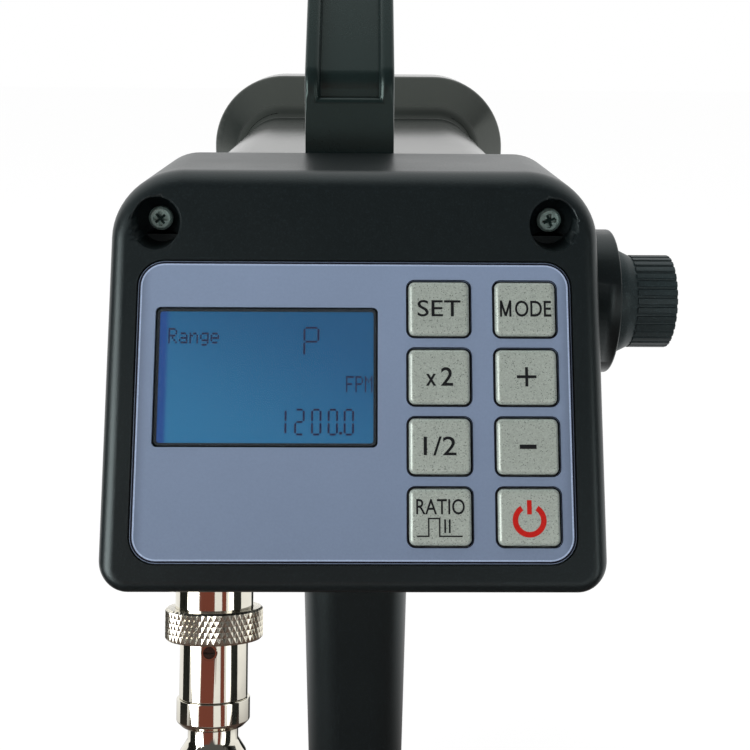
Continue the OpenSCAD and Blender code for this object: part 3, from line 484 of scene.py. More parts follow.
@dataclass(frozen=True)
class ClearSheet(Finish):
    """A clear pane that shows what lies behind it."""

    alpha: float = 0.1
    dust: float = 900.0
    dust_band: Pair = (0.6, 0.85)

    def draw(self, sheet: Sheet) -> bpy.types.Material:
        """Draw a clear pane with a trace of dust.

        Args:
            sheet: The empty sheet.

        Returns:
            The material.
        """
        dust = sheet.noise(self.dust, 4.0).ramp(*self.dust_band)
        return sheet.surface({
            "Base Color": (*self.colour, 1.0),
            "Roughness": self.roughness + dust * 0.2,
            "Alpha": self.alpha + dust * 0.02,
        })


@dataclass(frozen=True)
class LitCrystal(Finish):
    """A backlit display: deep blue at the left edge, brightest low in the middle."""

    centre: Triple = (-16.9, 7.35, 0.0)
    size: Triple = (20.55, 12.7, 1.0)
    edge: Colour = paint(20, 66, 134)
    glow: Colour = paint(36, 108, 152)
    shade: Colour = paint(14, 78, 122)
    edge_band: Pair = (-0.955, -0.9)
    fall: Pair = (-0.75, 0.95)
    grain: float = 2600.0

    def draw(self, sheet: Sheet) -> bpy.types.Material:
        """Draw the uneven backlight across the display.

        Args:
            sheet: The empty sheet.

        Returns:
            The material.
        """
        place = sheet.local(PANEL, self.centre, self.size)
        across, along = sheet.part(place, 0), sheet.part(place, 1)
        fine = sheet.noise(self.grain)
        far = (across * 0.42 + along * 0.5 + 0.15 + (fine - 0.5) * 0.35).ramp(*self.fall)
        body = sheet.tint(far, self.glow, self.shade)
        colour = sheet.tint(across.ramp(*self.edge_band), self.edge, body)
        return sheet.surface({
            "Base Color": sheet.tint(0.5, colour, (0.0, 0.0, 0.0)),
            "Roughness": self.roughness + (fine - 0.5) * 0.08,
            "Specular IOR Level": 0.05,
            "Emission Color": colour,
            "Emission Strength": 0.45,
        })


@dataclass(frozen=True)
class Ink(Finish):
    """Printed ink with slightly uneven cover."""

    grain: float = 3000.0

    def draw(self, sheet: Sheet) -> bpy.types.Material:
        """Draw the ink with a little less cover here and there.

        Args:
            sheet: The empty sheet.

        Returns:
            The material.
        """
        fine = sheet.noise(self.grain)
        colour = sheet.tint(fine.ramp(0.4, 0.8) * 0.5, self.colour, lighter(self.colour, 1.5))
        return sheet.surface({
            "Base Color": colour,
            "Roughness": self.roughness + (fine - 0.5) * 0.1,
            "Specular IOR Level": 0.2,
        })


@dataclass(frozen=True)
class SolderMask(Finish):
    """A board's lacquer with tracks that shine through."""

    grain: float = 1500.0
    track: float = 420.0
    track_band: Pair = (0.55, 0.62)

    def draw(self, sheet: Sheet) -> bpy.types.Material:
        """Draw faint tracks under the lacquer.

        Args:
            sheet: The empty sheet.

        Returns:
            The material.
        """
        fine = sheet.noise(self.grain)
        tracks = sheet.cells(self.track).ramp(*self.track_band)
        colour = sheet.tint(tracks * 0.6 + fine * 0.15, self.colour, lighter(self.colour, 1.9))
        return sheet.surface({
            "Base Color": colour,
            "Roughness": self.roughness + (fine - 0.5) * 0.1,
            "Normal": sheet.bump(tracks, 0.03, 0.6),
        })


@dataclass(frozen=True)
class LightChip(Finish):
    """The yellow light-giving layer under a clear dome."""

    grain: float = 3200.0

    def draw(self, sheet: Sheet) -> bpy.types.Material:
        """Draw the grainy layer with a clear coat.

        Args:
            sheet: The empty sheet.

        Returns:
            The material.
        """
        fine = sheet.noise(self.grain, 3.0)
        colour = sheet.tint(fine, lighter(self.colour, 0.85), lighter(self.colour, 1.2))
        return sheet.surface({
            "Base Color": colour,
            "Roughness": self.roughness + (fine - 0.5) * 0.1,
            "Coat Weight": 0.8,
        })


class Looks:
    """The finishes of this part."""

    BLACK = MouldedPlastic("moulded black", "black_plastic", paint(13, 19, 21), 0.35)
    HEAD_BLACK = MouldedPlastic(
        "satin black", "black_plastic", paint(20, 26, 25), 0.14,
        shine=0.56, depth=0.003, fleck=0.3, draft=0.03, tint=(0.9, 1.0, 0.86), crease=123.0,
    )
    HANDLE_BLACK = MouldedPlastic(
        "handle black", "black_plastic", paint(15, 26, 26), 0.3,
        shine=0.56, depth=0.006, fleck=0.3, tint=(0.76, 1.0, 0.94),
    )
    DIAL_BLACK = MouldedPlastic("dial black", "dial_plastic", paint(37, 47, 49), 0.45, shine=0.4)
    LABEL = LabelFilm("panel film", "label", paint(115, 131, 155), 0.5)
    # Painted shade: a dark line round the film's edge where it sits in the panel's recess, and round each
    # key's opening
    FILM_SHADE = Ink("film border", "label", paint(8, 12, 26), 0.5)
    # Painted highlight: a pale line along the film's edge
    FILM_HIGHLIGHT = Ink("film line", "label", paint(150, 166, 192), 0.5)
    PANE = ClearSheet("clear pane", "display_window", paint(200, 220, 230), 0.08, alpha=0.02)
    LIT = LitCrystal("lit display", "display", paint(49, 105, 144), 0.35)
    DISPLAY_MARK = Ink("display mark", "display", paint(4, 12, 56), 0.5)
    BORDER = Ink("display border", "display", paint(10, 14, 22), 0.5)
    SILVER = SilverPaint("key silver", "key_silver", paint(165, 175, 167), 0.36)
    KEY_INK = Ink("key print", "key_silver", paint(20, 22, 24), 0.5)
    RED_INK = Ink("red key print", "key_silver", paint(172, 25, 19), 0.45)
    NICKEL = PlatedMetal("nickel plating", "nickel", paint(228, 224, 210), 0.04, smudge=0.02)
    KNURL = PlatedMetal("knurled plating", "nickel", paint(250, 245, 228), 0.18)
    ZINC = PlatedMetal(
        "zinc plating", "steel", paint(222, 240, 235), 0.24, smudge=0.1, swings=220.0, metal=0.6
    )
    SCREW_HEAD = PlatedMetal(
        "cover screw zinc", "steel", paint(136, 160, 155), 0.26, smudge=0.34, swings=620.0, metal=0.6
    )
    # Painted shade: the dark crosses laid in the screw heads' recesses
    SCREW_RECESS_SHADE = PlatedMetal("cover screw recess", "steel", paint(34, 50, 48), 0.4)
    SCREW_STEEL = PlatedMetal("set screw steel", "steel", paint(92, 90, 84), 0.22)
    BRASS = PlatedMetal("bush brass", "bush_brass", paint(196, 160, 92), 0.3, smudge=0.1)
    CONTACT = PlatedMetal("contact plating", "contact_brass", paint(214, 178, 96), 0.2)
    ALLOY = PlatedMetal(
        "sawn alloy", "heat_sink_alloy", paint(176, 180, 184), 0.38, smudge=0.12, swings=300.0
    )
    MIRROR = PlatedMetal("mirror film", "reflector_silver", paint(224, 226, 228), 0.1)
    GLASS = ClearSheet("front glass", "lamp_glass", paint(225, 235, 238), 0.03, alpha=0.14)
    RUBBER = MouldedPlastic("seal rubber", "seal_rubber", paint(30, 30, 31), 0.75, shine=0.2)
    SILICONE = MouldedPlastic("keypad silicone", "silicone", paint(70, 72, 76), 0.7, shine=0.2)
    ENCODER = MouldedPlastic("encoder case", "encoder_case", paint(52, 52, 55), 0.55)
    INSULATOR = MouldedPlastic("contact insulator", "insulator", paint(34, 34, 34), 0.5)
    SLEEVE = MouldedPlastic("capacitor sleeve", "capacitor_sleeve", paint(28, 40, 84), 0.35, shine=0.4)
    BOARD = SolderMask("green board", "circuit_board", paint(20, 74, 42), 0.4)
    LIGHT_BOARD = SolderMask("white board", "led_board_white", paint(205, 207, 205), 0.4)
    CHIP = LightChip("light chip", "led", paint(232, 206, 92), 0.3)


def crisp(where: PointTest, least: float = SHARP) -> EdgeTest:
    """Make a test for outward edges that are sharper than an angle.

    Args:
        where: A test that both ends of the edge have to pass.
        least: The least angle between the two faces.

    Returns:
        The test.
    """
    def test(edge: bmesh.types.BMEdge) -> bool:
        """Say whether an edge is meant."""
        sharp = edge.is_convex and edge.calc_face_angle(0.0) > math.radians(least)
        return sharp and all(where(vert.co) for vert in edge.verts)

    return test


def add_square(mesh: bmesh.types.BMesh, matrix: Matrix) -> None:
    """Add a flat square of side 1 that a matrix scales and places."""
    bmesh.ops.create_grid(mesh, x_segments=1, y_segments=1, size=0.5, matrix=matrix)


class Shape:
    """A mesh in the making, in millimetres.

    Points of a copy merge within MERGE and those of a drawn shape within TOUCH. Faces within FLAT of
    one plane join, and a face looks one way when the cosine of the angle is over ALIGNED.
    """

    MERGE = 0.002
    TOUCH = 1e-4
    FLAT = 0.25
    ALIGNED = 0.9999
    SLAB_STEPS = 6
    LINE_STEPS = 10
    ARC_STEPS = 40
    FONT_STEPS = 4

    def __init__(self) -> None:
        """Start with nothing."""
        self.bm = bmesh.new()

    @classmethod
    def of_node(cls, node: str, place: Optional[Place] = None, join: bool = True) -> "Shape":
        """Copy a solid of the frame, merged, with its flat faces joined.

        Args:
            node: The solid's name.
            place: A frame to lay the copy out in, by default the part's own.
            join: Whether flat faces are joined.

        Returns:
            The copy.
        """
        shape = cls()
        shape.bm.from_mesh(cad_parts[node].data)
        bmesh.ops.scale(shape.bm, vec=Vector((1, 1, 1)) / MM, verts=shape.bm.verts[:])
        bmesh.ops.remove_doubles(shape.bm, verts=shape.bm.verts[:], dist=cls.MERGE)
        if join:
            bmesh.ops.dissolve_limit(
                shape.bm,
                angle_limit=math.radians(cls.FLAT),
                use_dissolve_boundaries=False,
                verts=shape.bm.verts[:],
                edges=shape.bm.edges[:],
                delimit={"NORMAL"},
            )
        return shape.moved(place.matrix.inverted()) if place else shape

    @classmethod
    def slab(cls, size: Pair, corner: float, top: float, bottom: float) -> "Shape":
        """Make a plate with rounded corners.

        Args:
            size: Its width and height.
            corner: The radius of its corners.
            top: Height of its face.
            bottom: Height of its back.

        Returns:
            The plate, centred on Z.
        """
        shape = cls()
        block = Matrix.LocRotScale(
            Vector((0, 0, (top + bottom) / 2)), None, Vector((*size, top - bottom))
        )
        bmesh.ops.create_cube(shape.bm, size=1.0, matrix=block)
        return shape.soften(
            corner, lambda edge: abs(edge.verts[0].co.z - edge.verts[1].co.z) > NEAR, cls.SLAB_STEPS
        )

    @classmethod
    def turned(cls, outline: Sequence[Pair], steps: int) -> "Shape":
        """Spin a closed outline round Z.

        Args:
            outline: Pairs of radius and height.
            steps: Steps of the turn.

        Returns:
            The turned shape.
        """
        shape = cls()
        verts = [shape.bm.verts.new((radius, 0, height)) for radius, height in outline]
        edges = [shape.bm.edges.new(pair) for pair in zip(verts, verts[1:] + verts[:1])]
        shape.spin(verts + edges, 2 * math.pi, steps, closed=True)
        bmesh.ops.remove_doubles(shape.bm, verts=shape.bm.verts[:], dist=cls.TOUCH)
        bmesh.ops.recalc_face_normals(shape.bm, faces=shape.bm.faces[:])
        return shape

    @classmethod
    def words(cls, text: str, size: Pair, weight: float) -> "Shape":
        """Set a word flat on the XY plane.

        Args:
            text: The word.
            size: Its width and height.
            weight: Extra weight of its strokes.

        Returns:
            The word, centred.
        """
        shape = cls()
        curve = bpy.data.curves.new("word", "FONT")
        curve.body = text
        curve.offset = weight
        curve.resolution_u = cls.FONT_STEPS
        holder = bpy.data.objects.new("word", curve)
        mesh = bpy.data.meshes.new_from_object(holder)
        shape.bm.from_mesh(mesh)
        bpy.data.objects.remove(holder)
        bpy.data.curves.remove(curve)
        bpy.data.meshes.remove(mesh)
        bmesh.ops.remove_doubles(shape.bm, verts=shape.bm.verts[:], dist=cls.TOUCH)
        return shape.fitted(size)

    @classmethod
    def bars(cls, strokes: Sequence[Stroke], weight: float) -> "Shape":
        """Lay flat straight strokes on the XY plane.

        Args:
            strokes: The ends of each stroke's middle line.
            weight: Width of the strokes.

        Returns:
            The strokes.
        """
        shape = cls()
        for x_from, y_from, x_to, y_to in strokes:
            run = Vector((x_to - x_from, y_to - y_from, 0))
            turn = Matrix.Rotation(math.atan2(run.y, run.x), 4, "Z")
            centre = Matrix.Translation(((x_from + x_to) / 2, (y_from + y_to) / 2, 0))
            flat = Matrix.Diagonal((run.length, weight, 1, 1))
            add_square(shape.bm, centre @ turn @ flat)
        return shape

    @classmethod
    def arc(cls, radii: Pair, start: float, sweep: float) -> "Shape":
        """Lay a flat arc on the XY plane.

        Args:
            radii: Its inner and outer radius.
            start: The angle it starts at.
            sweep: The angle it covers.

        Returns:
            The arc, centred on the origin.
        """
        shape = cls()
        turn = Matrix.Rotation(math.radians(start), 4, "Z")
        verts = [shape.bm.verts.new(turn @ Vector((radius, 0, 0))) for radius in radii]
        edge = shape.bm.edges.new(verts)
        shape.spin([*verts, edge], math.radians(sweep), cls.ARC_STEPS, closed=False)
        return shape

    @classmethod
    def outline(cls, size: Pair, corner: float, width: float) -> "Shape":
        """Lay a flat line round a rectangle with rounded corners.

        Args:
            size: Outer width and height.
            corner: Outer radius of its corners.
            width: Width of the line.

        Returns:
            The line, centred on the origin.
        """
        shape = cls()
        add_square(shape.bm, Matrix.Diagonal((*size, 1, 1)))
        shape.bevel(shape.bm.verts[:], corner, "VERTICES", cls.LINE_STEPS)
        inner = shape.bm.faces[:]
        bmesh.ops.inset_region(
            shape.bm, faces=inner, thickness=width, use_boundary=True, use_even_offset=True
        )
        bmesh.ops.delete(shape.bm, geom=inner, context="FACES")
        return shape

    def spin(self, geom: Sequence[Any], angle: float, steps: int, closed: bool) -> None:
        """Spin points and edges round Z by an angle in radians, and merge the ends of a closed turn."""
        bmesh.ops.spin(
            self.bm, geom=geom, cent=(0, 0, 0), axis=(0, 0, 1), angle=angle, steps=steps, use_merge=closed
        )

    def bevel(self, geom: Sequence[Any], width: float, affect: str, steps: int) -> None:
        """Bevel edges or corners with a round profile."""
        bmesh.ops.bevel(
            self.bm, geom=geom, offset=width, offset_type="OFFSET", affect=affect, segments=steps,
            profile=0.5, material=-1, clamp_overlap=False,
        )

    def fitted(self, size: Pair) -> "Shape":
        """Centre a flat shape and fit it to a size.

        Args:
            size: The width and height.

        Returns:
            The shape itself.
        """
        low = Vector([min(vert.co[axis] for vert in self.bm.verts) for axis in range(3)])
        high = Vector([max(vert.co[axis] for vert in self.bm.verts) for axis in range(3)])
        span = high - low
        fit = Matrix.Diagonal((size[0] / span.x, size[1] / span.y, 1, 1))
        return self.moved(fit @ Matrix.Translation(-(low + high) / 2))

    def moved(self, matrix: Matrix) -> "Shape":
        """Carry the shape through a matrix."""
        bmesh.ops.transform(self.bm, matrix=matrix, verts=self.bm.verts[:])
        return self

    def shifted(self, x: float, y: float, z: float = 0.0) -> "Shape":
        """Shift the shape."""
        return self.moved(Matrix.Translation((x, y, z)))

    def joined(self, other: "Shape") -> "Shape":
        """Take in another shape.

        Args:
            other: The other shape, which is used up.

        Returns:
            The shape itself.
        """
        mesh = bpy.data.meshes.new("part")
        other.bm.to_mesh(mesh)
        other.bm.free()
        self.bm.from_mesh(mesh)
        bpy.data.meshes.remove(mesh)
        return self

    def thick(self, height: float) -> "Shape":
        """Give a flat shape a thickness upwards.

        Args:
            height: The thickness.

        Returns:
            The shape itself.
        """
        bmesh.ops.recalc_face_normals(self.bm, faces=self.bm.faces[:])
        grown = bmesh.ops.extrude_face_region(self.bm, geom=self.bm.faces[:], use_keep_orig=True)
        raised = [item for item in grown["geom"] if isinstance(item, bmesh.types.BMVert)]
        bmesh.ops.translate(self.bm, vec=(0, 0, height), verts=raised)
        bmesh.ops.recalc_face_normals(self.bm, faces=self.bm.faces[:])
        return self

    def soften(self, width: float, test: EdgeTest, segments: int = 3) -> "Shape":
        """Round chosen edges.

        Args:
            width: Width of the rounding.
            test: Says which edges are meant.
            segments: Steps of the rounding.

        Returns:
            The shape itself.
        """
        edges = [edge for edge in self.bm.edges if len(edge.link_faces) == 2 and test(edge)]
        self.bevel(edges, width, "EDGES", segments)
        return self

    def weigh(self, normal: Vector) -> "Shape":
        """Let the faces that look one way set the shading of their corners.

        Args:
            normal: The way they look.

        Returns:
            The shape itself.
        """
        self.bm.normal_update()
        layer = self.bm.faces.layers.int.new("__mod_weightednormals_faceweight")
        for face in self.bm.faces:
            face[layer] = STRONG_FACE if face.normal.dot(normal) > self.ALIGNED else 0
        return self

    def piece(
        self,
        name: str,
        finish: Finish,
        body: str = HOUSING,
        stands_for: Sequence[str] = (),
        crease: float = 32.0,
    ) -> None:
        """Close the shape as a piece of the part.

        Args:
            name: The piece's name.
            finish: Its finish.
            body: The body that carries it.
            stands_for: Solids of the frame that it replaces.
            crease: Edges sharper than this stay crisp.
        """
        self.moved(Matrix.Diagonal((MM, MM, MM, 1)))
        mesh = bpy.data.meshes.new(name)
        self.bm.to_mesh(mesh)
        self.bm.free()
        mesh.shade_smooth()
        mesh.set_sharp_from_angle(angle=math.radians(crease))
        mesh.materials.append(finish.material())
        thing = bpy.data.objects.new(name, mesh)
        bpy.context.scene.collection.objects.link(thing)
        even = thing.modifiers.new("even shading", "WEIGHTED_NORMAL")
        even.keep_sharp = True
        even.use_face_influence = True
        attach(thing, body)
        if stands_for:
            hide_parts(*stands_for)
        LOG.info("%s rides on %s, %d faces", name, body, len(mesh.polygons))


def dress(finish: Finish, *nodes: str) -> None:
    """Give solids of the frame a finish.

    Args:
        finish: The finish.
        nodes: Names of the solids.
    """
    for node in nodes:
        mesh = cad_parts[node].data
        mesh.materials.clear()
        mesh.materials.append(finish.material())
        LOG.info("%s dressed in %s", node, finish.name)


class Softbox(Enum):
    """Soft lamps: place, aim and size in metres, power in watts, and whether they mirror in the part."""

    LEFT = ((-0.88, -0.6, 0.36), (0.0, -0.02, 0.14), (0.66, 0.8), 9.4, True)
    RIGHT = ((0.86, -0.62, 0.3), (0.0, -0.02, 0.13), (0.3, 0.7), 1.0, True)
    NEAR = ((0.36, -1.1, 0.22), (0.0, -0.02, 0.13), (0.34, 0.6), 1.2, False)
    TOP = ((-0.15, 0.25, 1.25), (0.0, 0.02, 0.15), (0.9, 0.7), 5.0, False)


class Tone(Enum):
    """Tones of the room round the part."""

    WHITE = (1.0, 1.0, 1.0)
    DIM = (0.1, 0.1, 0.1)
    DARK = (0.02, 0.022, 0.02)
    WARM = (0.2, 0.06, 0.042)


class Flag(Enum):
    """Black cards that only mirror in the metal: middle and size in metres, and bearing in degrees."""

    LEFT = ((-0.424, 0.019, 0.1), (0.237, 0.6), -100.0)
    RIGHT = ((0.359, -0.143, 0.1), (0.177, 0.6), 76.5)


@dataclass
class Studio:
    """Camera, pale floor, soft lamps and the room around the part.

    The camera's place is in millimetres and its turn in degrees, the floor's sizes are in metres,
    and the surroundings are tones from a bearing on, in degrees from straight ahead of the camera.
    """

    lens: float = 50.4
    sensor: float = 36.0
    nearest: float = 0.01
    eye: Triple = (1.5, -233.15, 219.53)
    look: Triple = (71.8, -0.42, -0.6)
    floor_size: float = 8.0
    floor_z: float = -0.0004
    floor_matt: Colour = (0.9, 0.9, 0.9)
    floor_dim: Colour = (0.08, 0.055, 0.047)
    floor_far: Colour = (0.85, 0.85, 0.85)
    floor_glow: float = 1.05
    floor_share: float = 0.9
    side_lean: float = 0.6
    side_band: Pair = (0.0, 0.2)
    far_band: Pair = (0.6, 1.8)
    plug: Pair = (-0.028, -0.06)
    surround: Sequence[tuple[float, Tone]] = (
        (-180.0, Tone.WHITE), (-112.0, Tone.DARK), (-76.0, Tone.WHITE), (-37.0, Tone.WARM),
        (8.0, Tone.WHITE), (29.0, Tone.WARM), (42.0, Tone.WHITE), (64.0, Tone.DARK), (89.0, Tone.WHITE),
    )
    ahead_shares: Pair = (0.8, 0.45)
    ahead_band: Pair = (0.25, 0.72)
    low_band: Pair = (0.5, 0.28)

    def build(self) -> None:
        """Set up the camera, the floor, the lamps and the room."""
        scene = bpy.context.scene
        scene.view_settings.view_transform = "Standard"
        self.place_camera(scene)
        self.lay_floor()
        for box in Softbox:
            self.hang(box)
        for flag in Flag:
            self.stand(flag)
        self.light_room(scene)

    def place_camera(self, scene: bpy.types.Scene) -> None:
        """Put the camera where the photograph was taken from.

        Args:
            scene: The scene that it looks at.
        """
        lens = bpy.data.cameras.new("viewpoint")
        lens.sensor_width = self.sensor
        lens.lens = self.lens
        lens.clip_start = self.nearest
        camera = bpy.data.objects.new("viewpoint", lens)
        camera.location = Vector(self.eye) * MM
        camera.rotation_euler = [math.radians(angle) for angle in self.look]
        scene.collection.objects.link(camera)
        scene.camera = camera

    def put(self, name: str, shape: bmesh.types.BMesh, sheet: Sheet, shader: Signal) -> bpy.types.Object:
        """Put a flat piece of the studio in the scene.

        Args:
            name: Its name.
            shape: Its mesh in the making, in metres.
            sheet: The sheet of its material.
            shader: What the sheet shows.

        Returns:
            The piece.
        """
        sheet.node("ShaderNodeOutputMaterial", {}, {"Surface": shader}, output=None)
        mesh = bpy.data.meshes.new(name)
        shape.to_mesh(mesh)
        shape.free()
        mesh.materials.append(sheet.owner)
        thing = bpy.data.objects.new(name, mesh)
        bpy.context.scene.collection.objects.link(thing)
        return thing

    def lay_floor(self) -> None:
        """Lay the pale floor that stays white behind the part and takes its shadow."""
        shape = bmesh.new()
        bmesh.ops.create_grid(shape, x_segments=4, y_segments=4, size=self.floor_size / 2)
        sheet = Sheet(bpy.data.materials.new("pale floor"))
        seen = self.rays(sheet, "Is Camera Ray", "Is Transmission Ray")
        mirrored = self.rays(sheet, "Is Glossy Ray")
        matt = sheet.node("ShaderNodeBsdfDiffuse", {}, {"Color": (*self.floor_matt, 1.0)})
        colour = sheet.tint(seen, self.mirrored_floor(sheet), Tone.WHITE.value)
        glow = sheet.node("ShaderNodeEmission", {}, {"Color": colour, "Strength": self.floor_glow})
        share = (seen * self.floor_share).largest(mirrored)
        both = sheet.node("ShaderNodeMixShader", {}, {0: share, 1: matt, 2: glow})
        floor = self.put("floor", shape, sheet, both)
        floor.location.z = self.floor_z

    def mirrored_floor(self, sheet: Sheet) -> Signal:
        """Give the floor's tone as the part mirrors it: dim before it, banded beside it, pale far off.

        Args:
            sheet: The floor's sheet.

        Returns:
            The tone as a colour.
        """
        x, y = (sheet.part(sheet.point(), axis) for axis in range(2))
        aside = (y + x.largest(x * -1.0) * self.side_lean).ramp(*self.side_band)
        far = (y * -1.0).ramp(*self.far_band)
        around = self.bands(sheet, x - self.plug[0], y - self.plug[1])
        return sheet.tint(far, sheet.tint(aside, self.floor_dim, around), self.floor_far)

    def bands(self, sheet: Sheet, across: Signal, depth: Signal) -> Signal:
        """Give the surroundings' tone for a bearing.

        Args:
            sheet: The sheet to work on.
            across: Distance to the right.
            depth: Distance ahead.

        Returns:
            The tone as a colour.
        """
        bearing = across.bearing(depth * -1.0) * (0.5 / math.pi) + 0.5
        bands = [(0.5 + turn / 360, tone.value) for turn, tone in self.surround]
        return sheet.node("ShaderNodeValToRGB", {"bands": bands}, {0: bearing}, output="Color")

    def rays(self, sheet: Sheet, first: str, *others: str) -> Signal:
        """Tell certain rays from all others.

        Args:
            sheet: The sheet to work on.
            first: A kind of ray.
            others: More kinds.

        Returns:
            1 for such rays and 0 for others.
        """
        found = sheet.node("ShaderNodeLightPath", output=first)
        for kind in others:
            found = found.largest(sheet.node("ShaderNodeLightPath", output=kind))
        return found

    def hang(self, box: Softbox) -> None:
        """Hang a soft lamp.

        Args:
            box: Which lamp.
        """
        place, aim, size, power, mirrors = box.value
        lamp = bpy.data.lights.new(box.name.lower() + " lamp", "AREA")
        lamp.shape = "RECTANGLE"
        lamp.size, lamp.size_y = size
        lamp.energy = power
        holder = bpy.data.objects.new(lamp.name, lamp)
        holder.location = place
        holder.rotation_euler = (Vector(aim) - Vector(place)).to_track_quat("-Z", "Y").to_euler()
        holder.visible_camera = False
        holder.visible_glossy = mirrors
        bpy.context.scene.collection.objects.link(holder)

    def stand(self, flag: Flag) -> None:
        """Stand a black card beside the part.

        Args:
            flag: Which card.
        """
        place, size, bearing = flag.value
        turn = Matrix.Rotation(math.radians(bearing), 4, "Z") @ UPRIGHT
        where = Matrix.Translation(place) @ turn @ Matrix.Diagonal((*size, 1, 1))
        shape = bmesh.new()
        add_square(shape, where)
        sheet = Sheet(bpy.data.materials.new(flag.name.lower() + " card"))
        black = sheet.node("ShaderNodeBsdfDiffuse", {}, {"Color": (*Tone.DARK.value, 1.0)})
        card = self.put(flag.name.lower() + "_card", shape, sheet, black)
        card.visible_camera = card.visible_diffuse = card.visible_shadow = False

    def light_room(self, scene: bpy.types.Scene) -> None:
        """Light the room: bands low round the part, and above them white ahead and dim behind the camera.

        Args:
            scene: The scene that the room surrounds.
        """
        world = bpy.data.worlds.new("room")
        scene.world = world
        sheet = Sheet(world)
        way = sheet.node("ShaderNodeTexCoord", output="Generated")
        across, depth, height = (sheet.part(way, axis) for axis in range(3))
        low = self.bands(sheet, across, depth)
        ahead = (depth * self.ahead_shares[0] + height * self.ahead_shares[1]).ramp(*self.ahead_band)
        high = sheet.tint(ahead, Tone.DIM.value, Tone.WHITE.value)
        room = sheet.tint(height.ramp(*self.low_band), high, low)
        colour = sheet.tint(self.rays(sheet, "Is Camera Ray"), room, Tone.WHITE.value)
        shade = sheet.node("ShaderNodeBackground", {}, {"Color": colour})
        sheet.node("ShaderNodeOutputWorld", {}, {"Surface": shade}, output=None)


@dataclass
class ControlBox:
    """The moulded box: rear cover, housing and the two screws in their recesses."""

    lean: float = 27.0
    recess_x: float = 38.9
    recess_s: float = 37.5
    recess_r: float = 4.75
    recess_steps: int = 96
    rim: Sequence[Pair] = (
        (-0.03, -0.4), (0.0, -0.2), (0.05, -0.1), (0.13, -0.03), (0.28, 0.01), (0.3, -0.03), (0.3, -0.4),
    )
    boss_r: float = 15.5
    boss_end: float = 53.0
    boss_edge: float = 0.5
    # The dark crosses of painted shade over the screw heads' recesses
    cross: float = 2.5
    cross_width: float = 0.5
    cross_turns: Pair = (38.0, 24.0)
    cross_lift: float = 0.03
    cross_t: float = 0.02

    def build(self) -> None:
        """Build the cover, the housing behind it and the cover's screws, with painted shade in their
        cross recesses.
        """
        cover = Shape.of_node("rear_cover", join=False).weigh(PANEL.matrix.col[2].xyz)
        cover.piece("cover_moulding", Looks.BLACK, HOUSING, ["rear_cover"])
        self.round_recesses()
        box = Shape.of_node("box_housing", DIAL_AXIS)
        box.soften(self.boss_edge, crisp(where=self.on_boss_rim))
        box.moved(DIAL_AXIS.matrix).piece("box_moulding", Looks.BLACK, HOUSING, ["box_housing"])
        screws = Shape.of_node("cover_screws")
        self.paint_cross_shade(screws)
        screws.piece("cover_screw_heads", Looks.SCREW_HEAD, HOUSING, ["cover_screws"])

    def paint_cross_shade(self, screws: Shape) -> None:
        """Paint shade into the cross recess of each screw head, as a dark cross laid over it.

        Args:
            screws: The screws, which face the reader.
        """
        face = min(vert.co.y for vert in screws.bm.verts)
        heads = [vert.co for vert in screws.bm.verts if vert.co.y < face + NEAR]
        level = middle([point.z for point in heads])
        reach, half = self.cross / 2, self.cross_width / 2
        arms = [(-reach, 0, reach, 0), (0, half, 0, reach), (0, -reach, 0, -half)]
        crosses = Shape()
        for side, angle in zip((-1, 1), self.cross_turns):
            turn = Matrix.Rotation(math.radians(angle), 4, "Z")
            cross = Shape.bars(arms, self.cross_width).moved(turn)
            crosses.joined(cross.shifted(middle([point.x for point in heads if point.x * side > 0]), 0))
        stand = Matrix.Translation((0, face - self.cross_lift, level)) @ UPRIGHT
        crosses.thick(self.cross_t).moved(stand).piece("cover_screw_crosses", Looks.SCREW_RECESS_SHADE)

    def round_recesses(self) -> None:
        """Round the rims of the screw recesses, which run level into the leaning panel."""
        lean = math.radians(self.lean)
        level = Matrix.Diagonal((1, 1 / math.cos(lean), 1, 1))
        level[1][2] = -math.tan(lean)
        outline = [(self.recess_r + out, up) for out, up in self.rim]
        rims = Shape()
        for side in (-1, 1):
            rim = Shape.turned(outline, self.recess_steps).moved(level)
            rims.joined(rim.shifted(side * self.recess_x, self.recess_s))
        rims.moved(PANEL.matrix).piece("recess_rims", Looks.BLACK)

    def on_boss_rim(self, point: Vector) -> bool:
        """Say whether a point lies on the outer rim of the dial's boss."""
        return abs(point.xy.length - self.boss_r) < NEAR and point.z > self.boss_end


